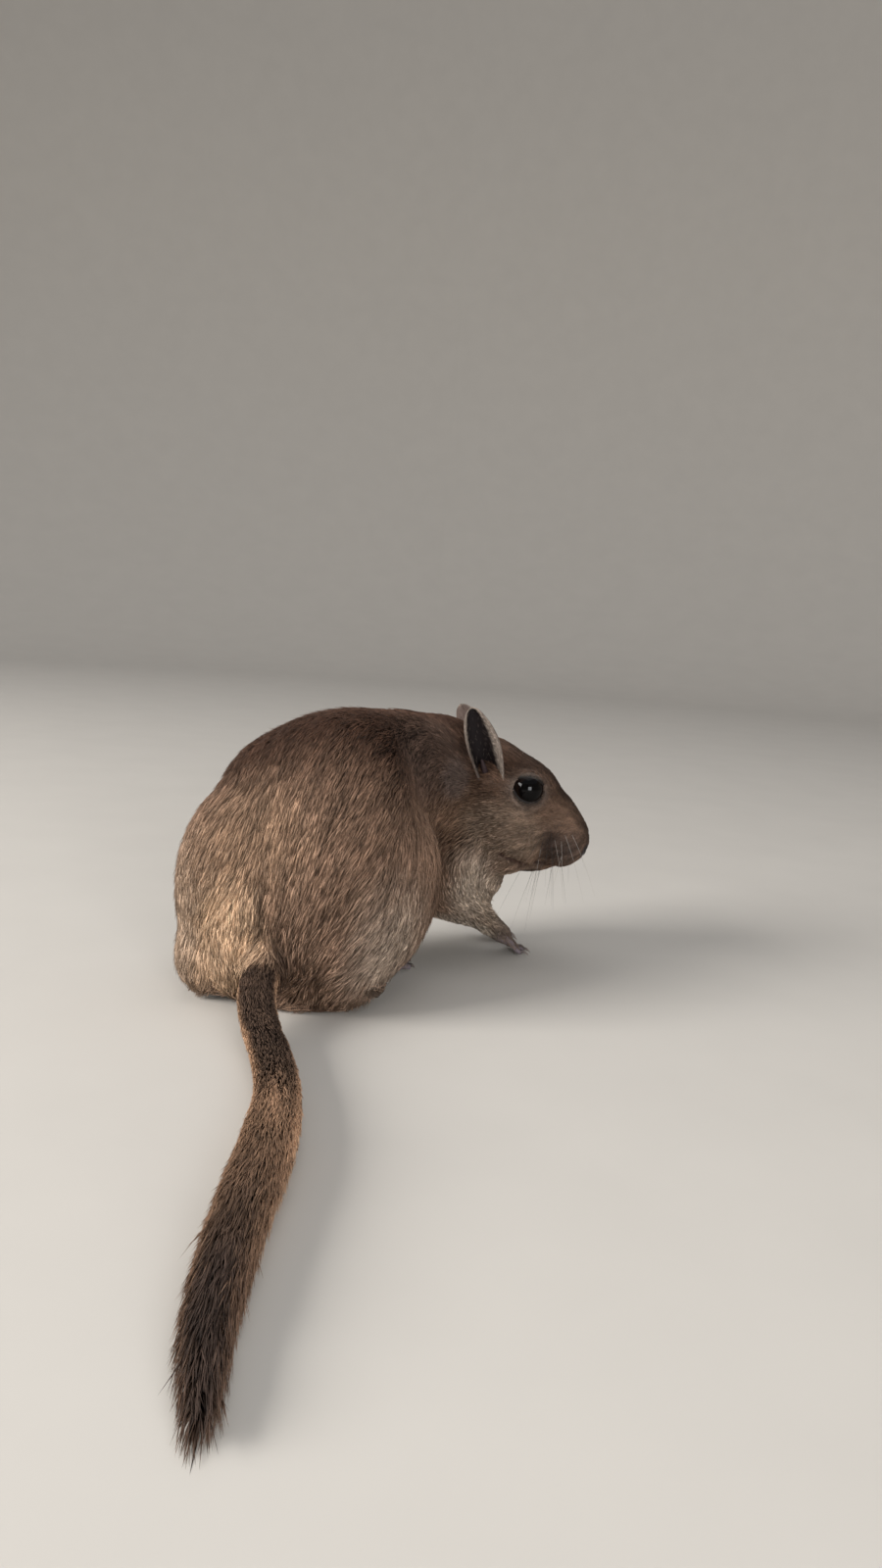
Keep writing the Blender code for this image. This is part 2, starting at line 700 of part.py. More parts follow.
def foot_room(side):
    """A plain volume round a hind foot, for the room it takes under the haunch."""
    heel, ball, toe = (Vector((*FEET[side][k], 1.6)) for k in ("heel", "ball", "toe"))
    rear = heel + (heel - ball).normalized() * 2.3
    path = (rear, heel.lerp(ball, 0.42), ball.lerp(toe, 0.2), toe.lerp(ball, -0.3))
    heel_room, ball_room = HEEL_SIZE[0] + FOOT_SPARE, BALL_SIZE[0] + FOOT_SPARE
    radii = (heel_room, heel_room, ball_room, ball_room + 0.6)
    return tube(f"foot_room_{side}", path, radii, 9, 12)


def hand(side):
    """A small forefoot: a flat palm and four clawed fingers."""
    arm = ARMS[side]
    wrist, knuckles, tips = (Vector(arm[k]) for k in ("wrist", "knuckles", "fingertips"))
    along = (knuckles - wrist).to_track_quat("X", "Z").to_euler()
    size = ((knuckles - wrist).length * 0.5 + HAND_SIZE[0], HAND_SIZE[0], HAND_SIZE[1])
    palm = ellipsoid(f"palm_{side}", wrist.lerp(knuckles, 0.4), size, along, (12, 8))
    root = knuckles - Vector((0, 0, 0.9))
    fingers = digits(f"finger_{side}", root, tips, FINGER_LENGTHS, FINGER_FAN, 1.75, FINGER_RADIUS, 0.7)
    return largest_body(united(palm, fingers))


def ear_matrix(side):
    sign = 1 if side == "left" else -1
    place = Matrix.Translation(Vector((EAR_ROOT[0], EAR_ROOT[1] * sign, EAR_ROOT[2])) * MM)
    lean = Euler((math.radians(-EAR_LEAN_OUT * sign), math.radians(-EAR_LEAN_BACK), 0), "XYZ")
    turn = Matrix.Rotation(math.radians(-EAR_TURN * sign), 4, "Z")
    flip = Matrix.Diagonal((1, sign, 1, 1))
    return HEAD @ place @ lean.to_matrix().to_4x4() @ turn @ flip


def ear_width_share(t):
    """How wide the ear is at a share of its height: it widens from the root and then rounds off."""
    if t < EAR_WIDEST:
        return 0.78 + 0.22 * t / EAR_WIDEST
    return math.sqrt(max(0.012, 1 - ((t - EAR_WIDEST) / (1 - EAR_WIDEST)) ** 2.6))


def ear(side):
    """A rounded cup, open to +Y in its own frame, that closes to a funnel at the root."""
    inner, outer = [], []
    for r in range(EAR_RINGS):
        t = math.sin(math.pi / 2 * (0.1 + 0.9 * r / (EAR_RINGS - 1)))
        height = EAR_LENGTH * (1.2 * t - 0.2)
        half_width = EAR_HALF_WIDTH * ear_width_share(t)
        depth = EAR_DEPTH * (1.15 - 0.75 * t)
        wrap = math.radians(eased((128, 112, 96, 84, 74), t))
        for row, wall in ((inner, 0.0), (outer, EAR_THICKNESS * (1.0 - 0.35 * t))):
            ring = []
            for k in range(EAR_SIDES):
                a = -wrap + 2 * wrap * k / (EAR_SIDES - 1)
                x = math.sin(a) * (half_width + wall)
                y = -math.cos(a) * (depth + wall) + depth * math.cos(wrap)
                ring.append(Vector((x, y - 1.2 * t * t, height)))
            row.append(ring)
    rings = [out + list(reversed(into)) for out, into in zip(outer, inner)]
    return move([loft(f"cup_{side}", rings)], ear_matrix(side))[0]


def tail_length(name, start, end, rings):
    return tube(name, TAIL_PATH, TAIL_RADII, rings, TAIL_SIDES, start, end)


def brush_lock(name, share, angle, draw):
    """One flat, tapered lock whose root is sunk in the tail and whose tip bends back along it."""
    centre = eased_point(TAIL_PATH, share)
    ahead = eased_point(TAIL_PATH, min(1.0, share + 0.01)) - eased_point(TAIL_PATH, share - 0.01)
    ahead.normalize()
    side = Vector((0, 0, 1)).cross(ahead).normalized()
    up = ahead.cross(side)
    out = side * math.cos(angle) + up * math.sin(angle)
    across = ahead.cross(out)
    along = max(0.0, (share - BRUSH_START) / (1 - BRUSH_START))
    length = (LOCK_LENGTH[0] + (LOCK_LENGTH[1] - LOCK_LENGTH[0]) * along) * draw.uniform(0.88, 1.1)
    lift = math.radians(LOCK_LIFT * (1 - LOCK_GATHER * along**3) * draw.uniform(0.75, 1.2))
    root = centre + out * (eased(TAIL_RADII, share) - LOCK_SINK)
    sway = draw.uniform(-0.10, 0.10)
    rings = []
    for run, wide in LOCK_PROFILE:
        rise = math.sin(lift) * length * (run - 0.55 * run * run)
        middle = root + ahead * length * run + out * rise + across * sway * length * run * run
        half = LOCK_WIDTH / 2 * wide
        thick = LOCK_THICKNESS / 2 * (1.0 - 0.62 * run)
        middle.z = max(middle.z, LOCK_CLEARANCE + thick)
        corners = (across * half, out * thick, -across * half, -out * thick)
        rings.append([middle + corner for corner in corners])
    return loft(name, rings)


def brushed(core, name, start, end, count, draw):
    """A length of tail with its share of the brush, in rows round the core."""
    locks = []
    first = max(start + 0.012, BRUSH_START)
    last = end - 0.02
    for k in range(count):
        share = first + (last - first) * (k + 0.5) / count
        angle = k * math.radians(137.5) + draw.uniform(-0.15, 0.15)
        if math.sin(angle) < -0.55:  # under the tail there is no room for them
            angle = math.radians(-20 if math.cos(angle) > 0 else 200) + draw.uniform(-0.2, 0.2)
        locks.append(brush_lock(f"{name}_lock_{k}", share, angle, draw))
    return united(core, locks, "MANIFOLD")


def build_body():
    """Trunk, neck, head, haunches and arms, parted from one smooth body by thin cuts."""
    body = fused_flesh("body", body_forms() + head_forms(), 0.9, 14, 2800)
    front = fused_flesh("front", [loft("trunk_front", trunk_rings())] + head_forms(), 0.6, 9, 3300)

    head = less(front, half_space("behind_head", neck_plane(0.0)))
    for side in ("right", "left"):
        head = combined(head, lid_ring(side), "UNION", "MANIFOLD")
        head = less(head, eyeball(side, GAP, (24, 14)))
        head = less(head, nostril(side))
    mouth = mouth_points(head)
    head = less(head, groove("cleft", NOSE_CLEFT, 0.3))
    head = less(head, groove("mouth", mouth, MOUTH_WIDTH))
    head = largest_body(head)

    rear = less(body, half_space("head_side", flipped(neck_plane(GAP))))
    rear = less(rear, half_space("tail_side", flipped(tail_plane(TAIL_PARTINGS[0]))))
    rear = less(rear, floor_block())
    limbs = {}
    for side in ("right", "left"):
        for kind, region in (("thigh", haunch_region), ("foreleg", foreleg_region)):
            name = f"{kind}_{side}"
            limbs[name] = combined(copied(rear, name), region(side, 0.0), "INTERSECT", "MANIFOLD")
            rear = less(rear, region(side, GAP))
    neck = less(copied(rear, "neck"), half_space("trunk_side", neck_plane(NECK_LENGTH)))
    trunk = less(rear, half_space("neck_side", flipped(neck_plane(NECK_LENGTH + GAP))))
    return head, largest_body(neck), trunk, limbs


def tail_plane(share, shift=0.0):
    """The plane across the tail at a share of its length, moved towards its end by a shift."""
    ahead = eased_point(TAIL_PATH, share + 0.005) - eased_point(TAIL_PATH, share - 0.005)
    turn = ahead.normalized().to_track_quat("Z", "Y").to_matrix().to_4x4()
    place = eased_point(TAIL_PATH, share) + ahead.normalized() * shift
    return Matrix.Translation(place * MM) @ turn


def main():
    coat = finish("coat", COAT_COLOUR, 0.75)
    face = finish("face_coat", FACE_COLOUR, 0.75)
    tail_coat = finish("tail_coat", TAIL_COLOUR, 0.8)
    skin = finish("bare_skin", SKIN_COLOUR, 0.5)
    ear_skin = finish("ear_skin", EAR_COLOUR, 0.6)
    eye_black = finish("eye_black", EYE_COLOUR, 0.08)
    draw = random.Random(SEED)

    head, neck, trunk, limbs = build_body()

    for side in ("right", "left"):
        thigh, foreleg = limbs[f"thigh_{side}"], limbs[f"foreleg_{side}"]
        sole = on_floor(foot(side))
        thigh = less(thigh, foot_room(side))
        trunk = less(trunk, foot_room(side))
        made_part(sole, f"hindfoot_{side}", skin)
        made_part(largest_body(thigh), f"thigh_{side}", coat)

        ahead_of_wrist = flipped(wrist_plane(side, 0.0))
        foreleg = less(foreleg, half_space("hand_side", ahead_of_wrist))
        palm = combined(hand(side), half_space("arm_side", wrist_plane(side, -GAP)), "DIFFERENCE")
        made_part(on_floor(palm), f"forefoot_{side}", skin)
        made_part(largest_body(foreleg), f"foreleg_{side}", coat)

        cup = less(ear(side), grown(head, "head_room", GAP))
        made_part(largest_body(cup), f"ear_{side}", ear_skin)
        made_part(eyeball(side), f"eye_{side}", eye_black)

    made_part(head, "head", face)
    made_part(neck, "neck", coat)
    made_part(largest_body(trunk), "torso", coat)

    cuts = (*TAIL_PARTINGS, 1.0)
    names = ("tail_base", "tail_middle", "tail_end")
    for name, start, end in zip(names, cuts, cuts[1:]):
        rings = max(6, round(TAIL_RINGS * (end - start)))
        length = tail_length(name, start, end, rings)
        if name in BRUSH_LOCKS:
            length = brushed(length, name, start, end, BRUSH_LOCKS[name], draw)
        if start > TAIL_PARTINGS[0]:
            length = combined(length, half_space("before", tail_plane(start, GAP / 2)), "DIFFERENCE")
        else:
            length = combined(length, half_space("before", tail_plane(start, GAP)), "DIFFERENCE")
        made_part(on_floor(length), name, tail_coat)


clear_scene()
ANIMAL = collection("gerbil")
HELPERS = collection("helpers")
HEAD = head_matrix()
main()
for leftover in list(HELPERS.objects):
    bpy.data.objects.remove(leftover)
bpy.data.collections.remove(HELPERS)
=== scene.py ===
"""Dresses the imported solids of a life-size gerbil in skin, coat, eyes, claws and whiskers.

Row frame: +X runs forward over the hips, +Y is the animal's left, +Z is up, and the origin is on
the floor under the belly. The classes hold millimetres, and meshes are written in metres.
"""

import logging
import math
from dataclasses import dataclass, field
from enum import Enum
from typing import Callable, Optional, Sequence

import bmesh
import bpy
import numpy as np
from mathutils import Euler, Matrix, Vector, noise
from mathutils.bvhtree import BVHTree
from mathutils.kdtree import KDTree


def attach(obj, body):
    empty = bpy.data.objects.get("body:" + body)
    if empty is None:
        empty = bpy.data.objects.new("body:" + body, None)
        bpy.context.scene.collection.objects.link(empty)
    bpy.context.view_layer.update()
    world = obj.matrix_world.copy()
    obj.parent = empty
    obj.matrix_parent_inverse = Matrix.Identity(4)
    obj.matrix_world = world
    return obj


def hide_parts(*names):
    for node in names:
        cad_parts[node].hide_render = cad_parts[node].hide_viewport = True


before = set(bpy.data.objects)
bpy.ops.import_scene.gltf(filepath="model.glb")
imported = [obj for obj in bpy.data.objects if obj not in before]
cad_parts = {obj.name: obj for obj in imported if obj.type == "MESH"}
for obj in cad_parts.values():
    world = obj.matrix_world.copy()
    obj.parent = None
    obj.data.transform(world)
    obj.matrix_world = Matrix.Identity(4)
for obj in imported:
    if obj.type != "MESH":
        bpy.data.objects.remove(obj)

LOG = logging.getLogger("gerbil")
MM = 0.001
SEED = 20
FLOOR_CLEARANCE = 0.03  # millimetres that the coat keeps above the floor

Array = np.ndarray
Triple = tuple[float, float, float]
Part = tuple[Array, list[Array]]


class Side(Enum):
    """A side of the animal, as the sign of its Y in the head's frame."""

    LEFT = 1
    RIGHT = -1

    @property
    def word(self) -> str:
        """The side as it stands in names."""
        return self.name.lower()


class Region(Enum):
    """The parts of the body whose coats differ."""

    TRUNK = 0
    NECK = 1
    HEAD = 2
    HAUNCH = 3
    FORELEG = 4
    TAIL = 5
    BRUSH = 6
    FOREFOOT = 7
    HINDFOOT = 8


class Tint(Enum):
    """The colours of the animal and its stand, as sRGB hex values; a few are painted light or shade, as their comments
    say.
    """

    FLANK = "8a6f5c"
    # the back's own darker fur, made darker still as painted shade on the top of the back
    BACK = "4a3428"
    RUMP = "9f826a"
    TAIL_PATCH = "d2b191"
    HAUNCH_GREY = "bdab99"
    # the left haunch's own grey-tan fur, paled further as painted light from the left
    HAUNCH_PALE = "c2a890"
    # painted shade in the creases by the tail's root and between the right haunch and the shoulder
    CREASE = "392920"
    SHOULDER = "6f5644"
    # painted light: the right upper arm's fur paled where light falls on it
    UPPER_ARM = "d4c1ae"
    CHEST = "b8a592"
    BELLY = "b0a191"
    NAPE = "5c4a40"
    BEHIND_EAR = "6f5f57"
    FOREHEAD = "5a463a"
    CHEEK = "8f7a68"
    EYE_RING = "64574e"
    MUZZLE = "50433d"
    WHISKER_PAD = "3a3031"
    BRIDGE = "362a23"
    # painted shade: the chin and lower jaw darkened for the shade under the head
    CHIN = "524439"
    TAIL_DARK = "3d3029"
    TAIL_ORANGE = "a78468"
    TAIL_PALE = "a88d74"
    # the tail's own browning towards the tip, deepened as painted shade on the far tail
    TAIL_BROWN = "6a5140"
    TICK = "1e1713"
    UNDERCOAT = "4c433e"
    NOSE = "2b2423"
    # the lids' dark rim; also laid in the nostril pits as painted shade
    LID = "14100e"
    LIP = "38241d"
    PAW = "6e6468"
    FOOT_FUR = "7d6f66"
    EAR_INSIDE = "120c0d"
    EAR_BACK = "5c4d46"
    EAR_LOBE = "2c2122"
    EAR_RIM = "93867b"
    EYE = "060505"
    IRIS = "120b08"
    CLAW = "3b312e"
    CLAW_TIP = "857a72"
    WHISKER_DARK = "1b1614"
    WHISKER_PALE = "a39b92"
    FLOOR = "c6c1b9"


def linear(tint: Tint) -> tuple[float, float, float, float]:
    """Turns an sRGB hex value to the linear colour that shaders take.

    Args:
        tint: The colour to turn.

    Returns:
        Red, green, blue and an alpha of 1.
    """
    parts = [int(tint.value[k:k + 2], 16) / 255 for k in (0, 2, 4)]
    red, green, blue = (c / 12.92 if c <= 0.04045 else ((c + 0.055) / 1.055) ** 2.4 for c in parts)
    return (red, green, blue, 1.0)


def tint_row(tint: Tint) -> Array:
    """The linear colour as an array of three numbers."""
    return np.array(linear(tint)[:3])


def unit(vectors: Array) -> Array:
    """Rows of vectors brought to length 1."""
    return vectors / np.maximum(np.linalg.norm(vectors, axis=-1, keepdims=True), 1e-9)


def smoothstep(low: float, high: float, values: Array) -> Array:
    """A soft step from 0 at low to 1 at high, which may be the smaller one."""
    share = np.clip((values - low) / (high - low), 0.0, 1.0)
    return share * share * (3 - 2 * share)


def eased(values: Sequence, t: float):
    """Reads a smooth curve through evenly spaced values.

    Args:
        values: Numbers or arrays, evenly spaced from 0 to 1.
        t: The place on the curve, from 0 to 1.

    Returns:
        The value at t, of the same kind as the values.
    """
    place = t * (len(values) - 1)
    i = min(int(place), len(values) - 2)
    u = place - i
    before, a, b, after = (values[max(0, min(len(values) - 1, i + k))] for k in (-1, 0, 1, 2))
    slope_a, slope_b = (b - before) / 2, (after - a) / 2
    return (
        a * (2 * u**3 - 3 * u**2 + 1)
        + slope_a * (u**3 - 2 * u**2 + u)
        + b * (3 * u**2 - 2 * u**3)
        + slope_b * (u**3 - u**2)
    )


# Sizes that repeat the solids' own


@dataclass(frozen=True)
class HeadFrame:
    """The head's frame: its origin between the eyes, +X to the nose, +Y to its left and +Z up."""

    place: Triple = (20.0, -37.6, 36.0)
    yaw: float = -93.0
    pitch: float = 15.0

    def matrix(self) -> Matrix:
        """The frame's matrix in millimetres."""
        turn = Euler((0, math.radians(self.pitch), math.radians(self.yaw)), "XYZ")
        return Matrix.Translation(Vector(self.place)) @ turn.to_matrix().to_4x4()

    def axes(self) -> Array:
        """Rows of the frame's X, Y and Z directions."""
        return np.array(self.matrix().to_3x3()).T

    def local(self, points: Array) -> Array:
        """Points of the row frame, in the head's frame."""
        return (points - np.array(self.place)) @ self.axes().T

    def world(self, points: Array) -> Array:
        """Points of the head's frame, in the row frame."""
        return points @ self.axes() + np.array(self.place)


HEAD = HeadFrame()


@dataclass(frozen=True)
class TailLine:
    """The tail's middle line and the radius of the coat's outside along it."""

    path: tuple[Triple, ...] = (
        (-22.0, 6.6, 10.0),
        (-30.0, 7.2, 6.6),
        (-38.0, 5.2, 4.0),
        (-48.0, 1.8, 2.9),
        (-60.0, -0.9, 2.8),
        (-74.0, -1.9, 2.8),
        (-92.0, -1.7, 2.5),
        (-107.0, -2.0, 2.0),
        (-119.0, -3.6, 1.5),
    )
    radii: tuple[float, ...] = (3.3, 3.15, 3.05, 3.1, 3.1, 2.9, 2.2, 1.6, 0.9)
    free_from: float = 0.36  # the share of its length from which its hairs leave the skin
    brush_lift: float = 1.95
    brush_length: float = 8.0

    def sampled(self, count: int) -> tuple[Array, Array]:
        """Evenly spaced points on the line.

        Args:
            count: How many points.

        Returns:
            The points, and the unit direction towards the tip at each.
        """
        knots = [np.array(p) for p in self.path]
        shares = np.linspace(0, 1, count)
        points = np.array([eased(knots, t) for t in shares])
        return points, unit(np.gradient(points, axis=0))

    def radius(self, t: float) -> float:
        """The radius at a share of the tail's length."""
        return eased(self.radii, t)


TAIL = TailLine()


@dataclass(frozen=True)
class ArmLine:
    """The joints of a foreleg, from the shoulder to the tips of the fingers."""

    shoulder: Triple
    elbow: Triple
    wrist: Triple
    knuckles: Triple
    fingertips: Triple


ARMS = {
    Side.RIGHT: ArmLine(
        (10.8, -22.0, 24.0), (10.5, -20.5, 15.2), (18.5, -30.0, 8.6), (22.8, -34.8, 4.1), (24.4, -38.9, 1.0)
    ),
    Side.LEFT: ArmLine(
        (30.0, -21.0, 24.0), (31.5, -19.0, 15.2), (32.5, -27.5, 8.0), (33.2, -32.6, 3.6), (33.6, -36.9, 1.0)
    ),
}


@dataclass(frozen=True)
class FootLine:
    """A hind foot on the floor plan."""

    heel: tuple[float, float]
    ball: tuple[float, float]
    toe: tuple[float, float]


FEET = {
    Side.RIGHT: FootLine((-15.0, -6.0), (3.0, -11.4), (11.0, -13.6)),
    Side.LEFT: FootLine((-13.5, 13.8), (4.0, 18.6), (12.5, 20.6)),
}


# Meshes


def new_object(name: str, mesh: bpy.types.Mesh) -> bpy.types.Object:
    """Links a mesh into the scene under a name."""
    made = bpy.data.objects.new(name, mesh)
    bpy.context.scene.collection.objects.link(made)
    return made


def mesh_from(name: str, points: Array, faces: Sequence[Array]) -> bpy.types.Mesh:
    """Writes a mesh from arrays.

    Args:
        name: The mesh's name.
        points: Rows of points in millimetres.
        faces: Arrays of vertex indices, each with one row a face and its own count of corners.

    Returns:
        The mesh, in metres, with smooth faces.
    """
    mesh = bpy.data.meshes.new(name)
    mesh.vertices.add(len(points))
    mesh.vertices.foreach_set("co", (points * MM).astype(np.float32).ravel())
    corners = np.concatenate([f.ravel() for f in faces])
    counts = np.concatenate([np.full(len(f), f.shape[1]) for f in faces])
    mesh.loops.add(len(corners))
    mesh.loops.foreach_set("vertex_index", corners.astype(np.int32))
    mesh.polygons.add(len(counts))
    starts = np.concatenate(([0], np.cumsum(counts)[:-1]))
    mesh.polygons.foreach_set("loop_start", starts.astype(np.int32))
    mesh.polygons.foreach_set("loop_total", counts.astype(np.int32))
    mesh.polygons.foreach_set("use_smooth", np.ones(len(counts), bool))
    mesh.update(calc_edges=True)
    mesh.validate()
    return mesh


def set_scalar(mesh: bpy.types.Mesh, name: str, values: Array) -> None:
    """Stores one number a vertex."""
    mesh.attributes.new(name, "FLOAT", "POINT").data.foreach_set("value", values.astype(np.float32))


def set_colour(mesh: bpy.types.Mesh, name: str, colours: Array) -> None:
    """Stores one linear colour a vertex."""
    rows = np.concatenate([colours, np.ones((len(colours), 1))], axis=1).astype(np.float32)
    mesh.attributes.new(name, "FLOAT_COLOR", "POINT").data.foreach_set("color", rows.ravel())


def points_of(mesh: bpy.types.Mesh) -> Array:
    """The mesh's points in millimetres."""
    flat = np.zeros(len(mesh.vertices) * 3, np.float32)
    mesh.vertices.foreach_get("co", flat)
    return flat.reshape(-1, 3).astype(float) / MM


def triangles_of(mesh: bpy.types.Mesh) -> Array:
    """The mesh's triangles as rows of vertex indices."""
    mesh.calc_loop_triangles()
    flat = np.zeros(len(mesh.loop_triangles) * 3, np.int32)
    mesh.loop_triangles.foreach_get("vertices", flat)
    return flat.reshape(-1, 3)


def edges_of(mesh: bpy.types.Mesh) -> Array:
    """The mesh's edges as rows of two vertex indices."""
    flat = np.zeros(len(mesh.edges) * 2, np.int32)
    mesh.edges.foreach_get("vertices", flat)
    return flat.reshape(-1, 2)


def normals_of(points: Array, triangles: Array) -> Array:
    """Unit vertex normals, weighted by the area of the faces round each vertex."""
    a, b, c = (points[triangles[:, k]] for k in range(3))
    faces = np.cross(b - a, c - a)
    columns = [
        sum(np.bincount(triangles[:, corner], faces[:, axis], len(points)) for corner in range(3))
        for axis in range(3)
    ]
    return unit(np.stack(columns, axis=1))


def spread(values: Array, edges: Array, rounds: int, share: float = 0.5, held: Optional[Array] = None) -> Array:
    """Evens out values over a mesh, from neighbour to neighbour.

    Args:
        values: One row a vertex.
        edges: Rows of two vertex indices.
        rounds: How many times each vertex moves towards its neighbours' mean.
        share: How far it moves each time.
        held: From 0 to 1 for each vertex, how much of the move it is kept from.

    Returns:
        The evened values.
    """
    flat = values.reshape(len(values), -1)
    a, b = edges.T
    count = len(flat)
    degree = np.maximum(np.bincount(a, minlength=count) + np.bincount(b, minlength=count), 1)[:, None]
    pull = share if held is None else share * (1 - held[:, None])
    for _ in range(rounds):
        columns = [
            np.bincount(a, flat[b, k], count) + np.bincount(b, flat[a, k], count) for k in range(flat.shape[1])
        ]
        flat = flat + pull * (np.stack(columns, axis=1) / degree - flat)
    return flat.reshape(values.shape)


def swept(rings: Array, closed: bool = False, capped: bool = True) -> tuple[Array, list[Array]]:
    """Joins rings of points into a skin.

    Args:
        rings: An array of ring, point and coordinate.
        closed: Whether the last ring joins the first.
        capped: Whether open ends are closed with one face each.

    Returns:
        The points, and the faces as arrays of vertex indices.
    """
    count, sides = rings.shape[:2]
    index = np.arange(count * sides).reshape(count, sides)
    low = index if closed else index[:-1]
    high = np.roll(index, -1, axis=0) if closed else index[1:]
    quads = np.stack([low, np.roll(low, -1, 1), np.roll(high, -1, 1), high], axis=-1).reshape(-1, 4)
    faces = [quads]
    if capped and not closed:
        faces += [index[0][::-1].reshape(1, -1), index[-1].reshape(1, -1)]
    return rings.reshape(-1, 3), faces


def tapered_rod(middle: Array, radii: Array, sides: int) -> tuple[Array, list[Array]]:
    """A round rod along a line of points.

    Args:
        middle: The points of the line.
        radii: The radius at each.
        sides: How many sides the rod has.

    Returns:
        Its points and faces.
    """
    ahead = unit(np.gradient(middle, axis=0))
    level = np.array([0.0, 0.0, 1.0]) if abs(ahead[0][2]) < 0.9 else np.array([1.0, 0.0, 0.0])
    across = unit(np.cross(level, ahead))
    up = np.cross(ahead, across)
    angles = np.arange(sides) * 2 * math.pi / sides
    ring = across[:, None] * np.cos(angles)[None, :, None] + up[:, None] * np.sin(angles)[None, :, None]
    return swept(middle[:, None] + ring * radii[:, None, None])


def merged(parts: Sequence[Part]) -> Part:
    """Puts several sets of points and faces into one."""
    points, faces, offset = [], [], 0
    for part_points, part_faces in parts:
        points.append(part_points)
        faces += [f + offset for f in part_faces]
        offset += len(part_points)
    return np.concatenate(points), faces


def ball(centre: Array, size: Triple, turn: Optional[Matrix] = None) -> Part:
    """An ellipsoid.

    Args:
        centre: Where it goes.
        size: Its three half axes.
        turn: How it is turned about its centre.

    Returns:
        Its points and faces.
    """
    heights = np.linspace(-math.pi / 2, math.pi / 2, 15)[1:-1]
    around = np.arange(20) * math.pi / 10
    flat = np.cos(heights)[:, None]
    rings = np.stack(
        [flat * np.cos(around), flat * np.sin(around), np.repeat(np.sin(heights)[:, None], 20, 1)], axis=-1
    )
    points, faces = swept(rings)
    points = points * np.array(size)
    if turn is not None:
        points = points @ np.array(turn.to_3x3()).T
    return points + np.array(centre), faces


def limb(stops: Sequence[tuple[Array, float]]) -> list[Part]:
    """A limb of straight tapered lengths with round joints.

    Args:
        stops: Places and the radius at each.

    Returns:
        Overlapping parts, to be fused.
    """
    parts = [ball(place, (radius,) * 3) for place, radius in stops]
    for (a, ra), (b, rb) in zip(stops, stops[1:]):
        parts.append(tapered_rod(np.array([a, b]), np.array([ra, rb]), 20))
    return parts


# Finishes


def add_node(tree: bpy.types.NodeTree, kind: str, settings: dict, links: dict) -> bpy.types.Node:
    """Adds a node to a material.

    Args:
        tree: The material's node tree.
        kind: The node's type.
        settings: Attributes by name, and values of inputs by index or by name with an "in:" before it.
        links: Output sockets that feed the node, by the input's index or name.

    Returns:
        The node.
    """
    node = tree.nodes.new(kind)
    for key, value in settings.items():
        if isinstance(key, int):
            node.inputs[key].default_value = value
        elif key.startswith("in:"):
            node.inputs[key[3:]].default_value = value
        else:
            setattr(node, key, value)
    for key, socket in links.items():
        tree.links.new(socket, node.inputs[key])
    return node


def new_material(name: str) -> tuple[bpy.types.Material, bpy.types.NodeTree, bpy.types.Node]:
    """A new material, its tree and its main shader."""
    material = bpy.data.materials.new(name)
    material.use_nodes = True
    return material, material.node_tree, material.node_tree.nodes["Principled BSDF"]


def set_ramp(node: bpy.types.Node, stops: Sequence[tuple[float, Sequence[float]]]) -> bpy.types.Node:
    """Gives a colour ramp its stops, as places and linear colours."""
    ramp = node.color_ramp
    while len(ramp.elements) < len(stops):
        ramp.elements.new(0.5)
    for element, (place, colour) in zip(ramp.elements, stops):
        element.position = place
        element.color = (*tuple(colour)[:3], 1.0)
    return node


@dataclass(frozen=True)
class GuardHairFinish:
    """Agouti guard hair, of keratin: a dark foot, a sandy band and on some a black tip, with a soft satin gloss."""

    roughness: float = 0.62
    ior: float = 1.55
    grain_mm: float = 0.9  # the length of the streaks of lighter and darker hair

    def material(self) -> bpy.types.Material:
        """The material of every tuft, which reads the marking, the place along the tuft and the ticking."""
        material, tree, shader = new_material("agouti_guard_hair_satin")
        marking = add_node(tree, "ShaderNodeAttribute", {"attribute_name": "marking"}, {})
        along = add_node(tree, "ShaderNodeAttribute", {"attribute_name": "along"}, {})
        ticking = add_node(tree, "ShaderNodeAttribute", {"attribute_name": "ticking"}, {})
        place = add_node(tree, "ShaderNodeTexCoord", {}, {})
        streaks = add_node(
            tree,
            "ShaderNodeTexNoise",
            {"in:Scale": 1 / (self.grain_mm * MM), "in:Detail": 2.0, "in:Roughness": 0.6},
            {"Vector": place.outputs["Object"]},
        )
        tone = add_node(
            tree,
            "ShaderNodeMapRange",
            {"in:From Min": 0.3, "in:From Max": 0.7, "in:To Min": 0.86, "in:To Max": 1.14},
            {"Value": streaks.outputs["Fac"]},
        )
        band = set_ramp(
            add_node(tree, "ShaderNodeValToRGB", {}, {"Fac": along.outputs["Fac"]}),
            ((0.0, (0.42,) * 3), (0.28, (0.66,) * 3), (0.6, (1.0,) * 3), (1.0, (1.1,) * 3)),
        )
        banded = add_node(
            tree,
            "ShaderNodeVectorMath",
            {"operation": "MULTIPLY"},
            {0: marking.outputs["Color"], 1: band.outputs["Color"]},
        )
        toned = add_node(
            tree, "ShaderNodeVectorMath", {"operation": "SCALE"}, {0: banded.outputs[0], "Scale": tone.outputs[0]}
        )
        tip = add_node(
            tree,
            "ShaderNodeMapRange",
            {"interpolation_type": "SMOOTHSTEP", "in:From Min": 0.45, "in:From Max": 0.8},
            {"Value": along.outputs["Fac"]},
        )
        black = add_node(
            tree, "ShaderNodeMath", {"operation": "MULTIPLY"}, {0: tip.outputs[0], 1: ticking.outputs["Fac"]}
        )
        colour = add_node(
            tree,
            "ShaderNodeMix",
            {"data_type": "RGBA", 7: linear(Tint.TICK)},
            {0: black.outputs[0], 6: toned.outputs[0]},
        )
        tree.links.new(colour.outputs[2], shader.inputs["Base Color"])
        shader.inputs["Roughness"].default_value = self.roughness
        shader.inputs["IOR"].default_value = self.ior
        shader.inputs["Specular IOR Level"].default_value = 0.14
        return material


